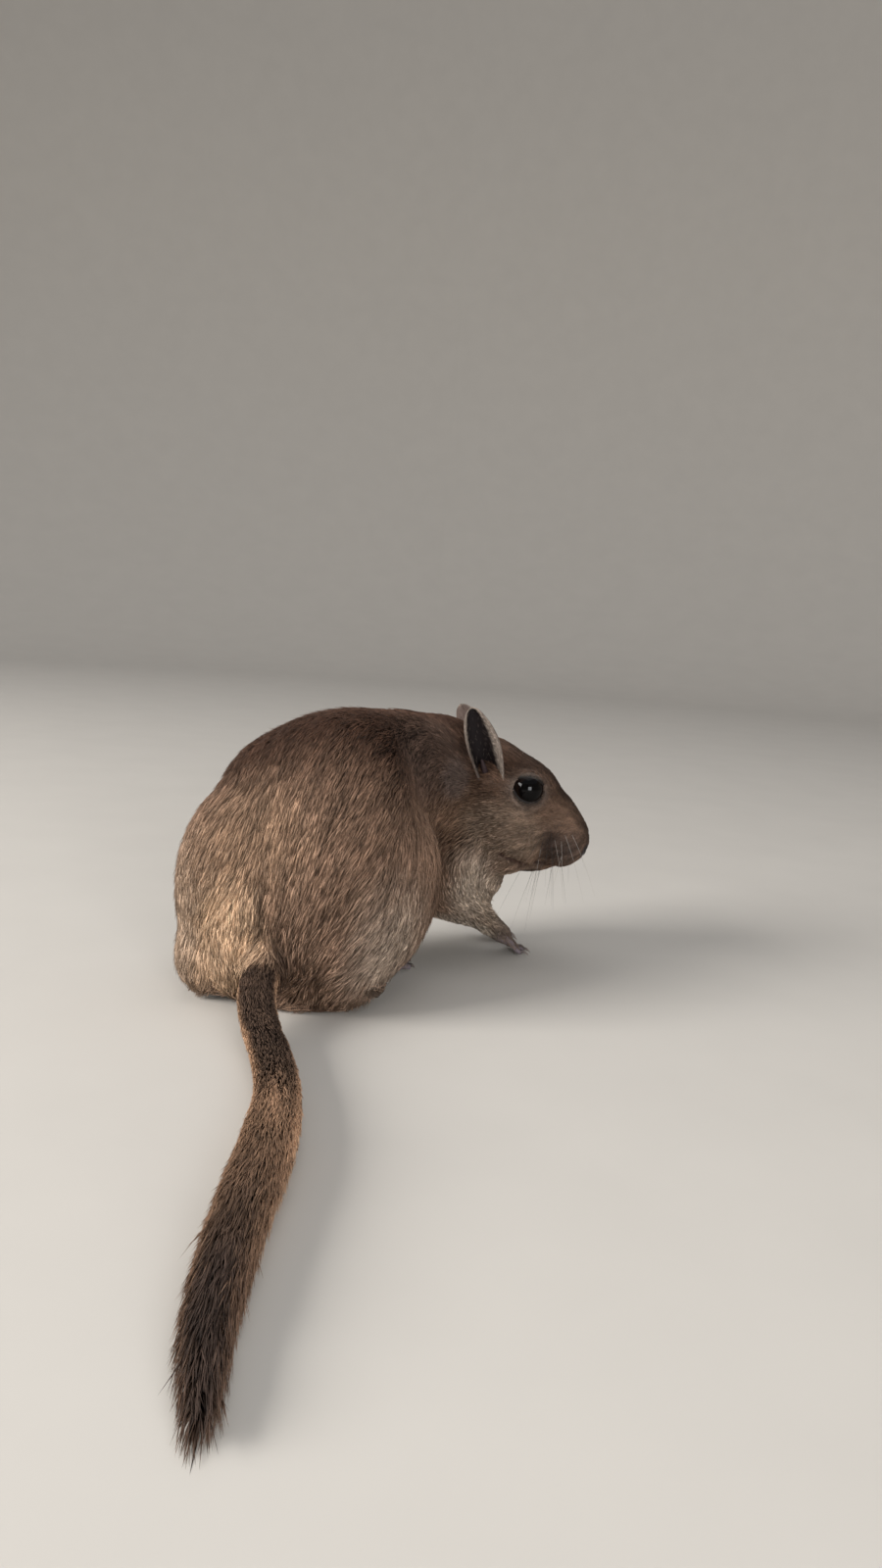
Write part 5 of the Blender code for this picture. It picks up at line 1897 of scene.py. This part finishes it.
@dataclass
class Coat:
    """The coat of a pelt, in pieces of joined tufts."""

    pelt: Pelt
    plan: TuftPlan
    draw: np.random.Generator
    scale: float = 1.0

    def roots(self, layer: Layer) -> tuple[Array, Array]:
        """Draws the roots of the tufts over the skin.

        Args:
            layer: The layer, whose count of tufts is taken.

        Returns:
            The triangle of each root, and its three weights there.
        """
        corners = self.pelt.points[self.pelt.triangles]
        area = np.linalg.norm(np.cross(corners[:, 1] - corners[:, 0], corners[:, 2] - corners[:, 0]), axis=1) / 2
        density = getattr(self.pelt, layer.value)[self.pelt.triangles].mean(axis=1)
        total = np.cumsum(area * density * self.scale)
        count = int(total[-1])
        ticks = (np.arange(count) + self.draw.random(count)) * (total[-1] / max(count, 1))
        triangle = np.minimum(np.searchsorted(total, ticks), len(total) - 1)
        a, b = self.draw.random((2, count))
        fold = a + b > 1
        a, b = np.where(fold, 1 - a, a), np.where(fold, 1 - b, b)
        return triangle, np.stack([1 - a - b, a, b], axis=1)

    def grow(self, layer: Layer, landings: tuple[Array, Array, Array, Array]) -> Tufts:
        """Grows one layer of tufts over the whole pelt.

        Args:
            layer: The layer.
            landings: What the pelt's own landings() gives.

        Returns:
            The tufts, not yet meshes.
        """
        pelt, plan, draw = self.pelt, self.plan, self.draw
        triangle, weights = self.roots(layer)
        corner = pelt.triangles[triangle]

        def at_roots(values: Array) -> Array:
            """Reads a field of the skin at the roots."""
            return np.einsum("nk,nk...->n...", weights, values[corner])

        root, normal, lie = at_roots(pelt.points), unit(at_roots(pelt.normals)), unit(at_roots(pelt.lie))
        count = len(root)
        long = 1.0 if layer is Layer.GUARD else plan.under_length
        length, lift, width = at_roots(pelt.length), at_roots(pelt.lift), at_roots(pelt.width)
        d1, d2 = at_roots(landings[0]), at_roots(landings[1])
        n1, n2 = unit(at_roots(landings[2])), unit(at_roots(landings[3]))
        side = unit(np.cross(normal, lie))
        share = draw.uniform(0.7, 1.1, count) * long
        slant = np.tan(draw.normal(0, plan.stray, count)) * length

        def along(s: Array) -> Array:
            """The place at a share of a tuft's full length, on the skin."""
            s = s[:, None]
            return root + d1 * (4 * s * (1 - s)) + d2 * (s * (2 * s - 1))

        middle = along(share * 0.5) + n1 * (lift * draw.uniform(0.45, 0.85, count))[:, None]
        middle += side * (slant * share * 0.5)[:, None]
        tip = along(share) + n2 * (lift * draw.uniform(0.6, 1.15, count) * (0.6 + 0.4 * long))[:, None]
        tip += side * (slant * share)[:, None]
        foot = root - normal * np.minimum(plan.root_sink, 0.02 + 0.3 * lift)[:, None]

        centres = np.flatnonzero(draw.random(count) < 1 / plan.clump)
        tree = KDTree(len(centres))
        for k, place in enumerate(root[centres].tolist()):
            tree.insert(place, k)
        tree.balance()
        clump = centres[np.array([tree.find(place)[1] for place in root.tolist()])]
        pull = plan.gather * draw.uniform(0.4, 1.2, count)[:, None]
        tip += (tip[clump] - tip) * pull
        middle += (middle[clump] - middle) * (pull * 0.3)

        tone = np.clip(draw.normal(1.0, plan.tone_spread, count)[clump] * draw.normal(1.0, 0.09, count), 0.5, 1.6)
        marking = np.clip(at_roots(pelt.marking) * tone[:, None], 0.002, 0.95)
        ticking = (draw.random(count) < at_roots(pelt.ticking)) * draw.uniform(0.3, 0.9, count)
        width = width * draw.uniform(0.75, 1.2, count) * (1.0 if layer is Layer.GUARD else plan.under_width)
        return Tufts(root, normal, side, foot, middle, tip, width, marking, ticking, pelt.region[corner[:, 0]])

    def layers(self) -> tuple[Tufts, Tufts]:
        """Grows both layers, the guard tufts first."""
        landings = self.pelt.landings()
        return self.grow(Layer.GUARD, landings), self.grow(Layer.UNDER, landings)

    def piece(self, name: str, guards: Tufts, unders: Tufts) -> bpy.types.Object:
        """Writes tufts of both layers as one piece of the coat.

        Args:
            name: The piece's name.
            guards: Its guard tufts.
            unders: Its under tufts.

        Returns:
            The piece.
        """
        points, faces, along, offset, spots = [], [], [], 0, []
        for tufts, shape in ((guards, guards.curved(self.plan)), (unders, unders.straight(self.plan))):
            rows, found, places = shape
            points.append(rows.reshape(-1, 3))
            faces += [f + offset for f in found]
            along.append(np.tile(places, len(rows)))
            spots.append(self.spots(tufts, rows.shape[1], places))
            offset += len(points[-1])
        corners = np.concatenate(points)
        corners[:, 2] = np.maximum(corners[:, 2], FLOOR_CLEARANCE)
        mesh = mesh_from(name, corners, faces)
        counts = (7, 4)
        pair = (guards, unders)
        set_colour(mesh, "marking", np.concatenate([np.repeat(t.marking, n, axis=0) for t, n in zip(pair, counts)]))
        set_scalar(mesh, "ticking", np.concatenate([np.repeat(t.ticking, n) for t, n in zip(pair, counts)]))
        set_scalar(mesh, "along", np.concatenate(along))
        loops = np.zeros(len(mesh.loops), np.int32)
        mesh.loops.foreach_get("vertex_index", loops)
        layer = mesh.uv_layers.new(name="OFBake")
        layer.data.foreach_set("uv", np.concatenate(spots)[loops].astype(np.float32).ravel())
        piece = new_object(name, mesh)
        piece.data.materials.append(COAT_MATERIAL)
        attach(piece, "root")
        return piece

    def spots(self, tufts: Tufts, corners: int, along: Array) -> Array:
        """Lays each tuft as a small patch at its root's place on an unwrap of the skin.

        The skin is unwrapped on six charts, one for each way that its surface mainly faces.

        Args:
            tufts: The tufts.
            corners: The points of one tuft.
            along: The place of each point along the tuft.

        Returns:
            The map's coordinates for each point.
        """
        low, high = self.pelt.points.min(axis=0), self.pelt.points.max(axis=0)
        place = (tufts.root - low) / (high - low)
        axis = np.argmax(np.abs(tufts.normal), axis=1)
        facing = np.take_along_axis(tufts.normal, axis[:, None], 1)[:, 0]
        rows = np.arange(len(tufts.root))
        u = (axis + 0.02 + 0.94 * place[rows, (axis + 1) % 3]) / 3
        v = ((facing < 0) + 0.02 + 0.94 * place[rows, (axis + 2) % 3]) / 2
        across = np.array([0.0, 1.0, 0.5, 0.0, 1.0, 0.5, 0.5] if corners == 7 else [0.0, 1.0, 0.5, 0.5])
        patch = np.stack([across, along], axis=1) * self.plan.patch
        return (np.stack([u, v], axis=1)[:, None] + patch[None]).reshape(-1, 2)


# Studio


@dataclass(frozen=True)
class Studio:
    """A sweep of pale paper, soft lights, and the camera where the photograph was taken from."""

    flat_radius: float = 900.0
    wall_radius: float = 1500.0
    wall_height: float = 1200.0
    camera_place: Triple = (-205.0, -20.0, 68.5)
    camera_pitch: float = 8.5
    camera_roll: float = 4.1
    lens: float = 1155.0 / 1600.0 * 36.0

    def floor(self) -> bpy.types.Object:
        """Builds the paper sweep, which turns up into a wall all round.

        Returns:
            The floor.
        """
        profile = [(0.0, 0.0), (self.flat_radius, 0.0)]
        bend = self.wall_radius - self.flat_radius
        for k in range(1, 17):
            a = math.pi / 2 * k / 16
            profile.append((self.flat_radius + bend * math.sin(a), bend * (1 - math.cos(a))))
        profile.append((self.wall_radius, self.wall_height))
        bm = bmesh.new()
        rows = [bm.verts.new((r * MM, 0, z * MM)) for r, z in profile]
        for a, b in zip(rows, rows[1:]):
            bm.edges.new((a, b))
        bmesh.ops.spin(
            bm, geom=bm.verts[:] + bm.edges[:], cent=(0, 0, 0), axis=(0, 0, 1), angle=2 * math.pi, steps=96
        )
        bmesh.ops.remove_doubles(bm, verts=bm.verts, dist=1e-6)
        bmesh.ops.recalc_face_normals(bm, faces=bm.faces)
        mesh = bpy.data.meshes.new("floor")
        bm.to_mesh(mesh)
        bm.free()
        mesh.polygons.foreach_set("use_smooth", np.ones(len(mesh.polygons), bool))
        mesh.materials.append(PaperFinish().material())
        floor = new_object("floor", mesh)
        return floor

    def light(self, name: str, place: Triple, size: float, power: float, warmth: Triple) -> None:
        """Adds a soft square light that looks at the animal.

        Args:
            name: The light's name.
            place: Where it is, in millimetres.
            size: The length of its side, in millimetres.
            power: Its power in watts.
            warmth: Its linear colour.
        """
        data = bpy.data.lights.new(name, "AREA")
        data.size = size * MM
        data.energy = power
        data.color = warmth
        lamp = bpy.data.objects.new(name, data)
        lamp.location = Vector(place) * MM
        aim = Vector((0, -10, 20)) * MM - lamp.location
        lamp.rotation_euler = aim.to_track_quat("-Z", "Y").to_euler()
        bpy.context.scene.collection.objects.link(lamp)

    def build(self) -> None:
        """Builds the floor, the lights and the camera."""
        self.floor()
        self.light("window", (-320, 700, 340), 420, 10.5, (1.0, 0.98, 0.96))
        self.light("fill", (-560, -190, 130), 220, 2.4, (0.97, 0.98, 1.0))
        self.light("top", (60, -60, 900), 700, 1.4, (1.0, 1.0, 1.0))
        world = bpy.data.worlds.new("room")
        world.use_nodes = True
        sky = world.node_tree.nodes["Background"]
        sky.inputs["Color"].default_value = (0.9, 0.93, 1.0, 1.0)
        sky.inputs["Strength"].default_value = 0.38
        bpy.context.scene.world = world
        bpy.context.scene.view_settings.view_transform = "Standard"
        data = bpy.data.cameras.new("camera")
        data.sensor_fit = "AUTO"
        data.sensor_width = 36.0
        data.lens = self.lens
        data.clip_start = 0.005
        camera = bpy.data.objects.new("camera", data)
        pitch = math.radians(self.camera_pitch)
        look = Vector((math.cos(pitch), 0, -math.sin(pitch)))
        turn = look.to_track_quat("-Z", "Y").to_matrix().to_4x4()
        roll = Matrix.Rotation(math.radians(self.camera_roll), 4, "Z")
        camera.matrix_world = Matrix.Translation(Vector(self.camera_place) * MM) @ turn @ roll
        bpy.context.scene.collection.objects.link(camera)
        bpy.context.scene.camera = camera


COAT_MATERIAL = GuardHairFinish().material()
EYE_MATERIAL = EyeFinish().material()
CLAW_MATERIAL = HornFinish("claw_keratin_dull", Tint.CLAW, Tint.CLAW_TIP).material()
WHISKER_DARK_MATERIAL = HornFinish("whisker_keratin_dark", Tint.WHISKER_DARK, Tint.WHISKER_DARK).material()
WHISKER_PALE_MATERIAL = HornFinish("whisker_keratin_pale", Tint.WHISKER_PALE, Tint.WHISKER_PALE).material()
LID_MATERIAL = HideFinish(roughness=0.5).material()


COAT_PIECES: tuple[tuple[str, tuple[Region, ...], Callable[[Array], Array]], ...] = (
    ("coat_rump", (Region.TRUNK,), lambda p: p[:, 0] < -12),
    ("coat_loin", (Region.TRUNK,), lambda p: (p[:, 0] >= -12) & (p[:, 0] < 2)),
    ("coat_back", (Region.TRUNK,), lambda p: (p[:, 0] >= 2) & (p[:, 1] > -12) & (p[:, 2] > 34)),
    ("coat_flank", (Region.TRUNK,), lambda p: (p[:, 0] >= 2) & (p[:, 1] > -12) & (p[:, 2] <= 34)),
    ("coat_chest", (Region.TRUNK,), lambda p: (p[:, 0] >= 2) & (p[:, 1] <= -12)),
    ("coat_haunch_left", (Region.HAUNCH,), lambda p: p[:, 1] > 2),
    ("coat_haunch_right", (Region.HAUNCH,), lambda p: p[:, 1] <= 2),
    ("coat_neck", (Region.NECK,), lambda p: p[:, 0] > -1e9),
    ("coat_cheeks", (Region.HEAD,), lambda p: p[:, 2] < 32),
    ("coat_crown", (Region.HEAD,), lambda p: p[:, 2] >= 32),
    ("coat_forelegs", (Region.FORELEG, Region.FOREFOOT), lambda p: p[:, 0] > -1e9),
    ("coat_tail", (Region.TAIL,), lambda p: p[:, 0] > -1e9),
    ("coat_brush", (Region.BRUSH, Region.HINDFOOT), lambda p: p[:, 0] > -1e9),
)


def main() -> None:
    """Builds every piece in order, and logs how many faces each piece has."""
    logging.basicConfig(level=logging.INFO, format="%(message)s")
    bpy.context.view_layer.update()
    draw = np.random.default_rng(SEED)
    scale = 1.0

    skin, pelt = Skin().pelt()
    ear_pelts = []
    for side in Side:
        mesh, ear_pelt = Ear(side).build()
        ear = new_object(f"ear_flesh_{side.word}", mesh)
        ear.data.materials.append(skin.data.materials[0])
        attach(ear, "root")
        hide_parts(f"ear_{side.word}")
        ear_pelts.append((side, ear_pelt))
        LOG.info("%s: %d faces", ear.name, len(mesh.polygons))
    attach(skin, "root")
    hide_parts(*NODE_REGIONS)
    LOG.info("skin: %d faces", len(skin.data.polygons))

    tree = BVHTree.FromPolygons(pelt.points.tolist(), pelt.triangles.tolist())
    short_pelts = [(f"coat_ear_{side.word}", ear_pelt) for side, ear_pelt in ear_pelts]
    for side in Side:
        eye = Eye(side)
        lids, lid_pelt = eye.lids()
        short_pelts.append((f"coat_eyelids_{side.word}", lid_pelt))
        for piece in (eye.ball(), lids):
            LOG.info("%s: %d faces", piece.name, len(piece.data.polygons))
    for piece in (*build_claws(), *Whiskers().build(tree, draw)):
        LOG.info("%s: %d faces", piece.name, len(piece.data.polygons))

    coat = Coat(pelt, TuftPlan(), draw, scale)
    layers = coat.layers()
    for name, regions, where in COAT_PIECES:
        values = [r.value for r in regions]
        chosen = [t.picked(np.isin(t.region, values) & where(t.root)) for t in layers]
        piece = coat.piece(name, *chosen)
        LOG.info("%s: %d triangles", name, len(chosen[0].root) * 10 + len(chosen[1].root) * 4)
    for name, short_pelt in short_pelts:
        short_coat = Coat(short_pelt, TuftPlan(root_sink=0.08), draw, scale)
        piece = short_coat.piece(name, *short_coat.layers())
        LOG.info("%s: %d faces", piece.name, len(piece.data.polygons))

    Studio().build()


if __name__ == "__main__":
    main()
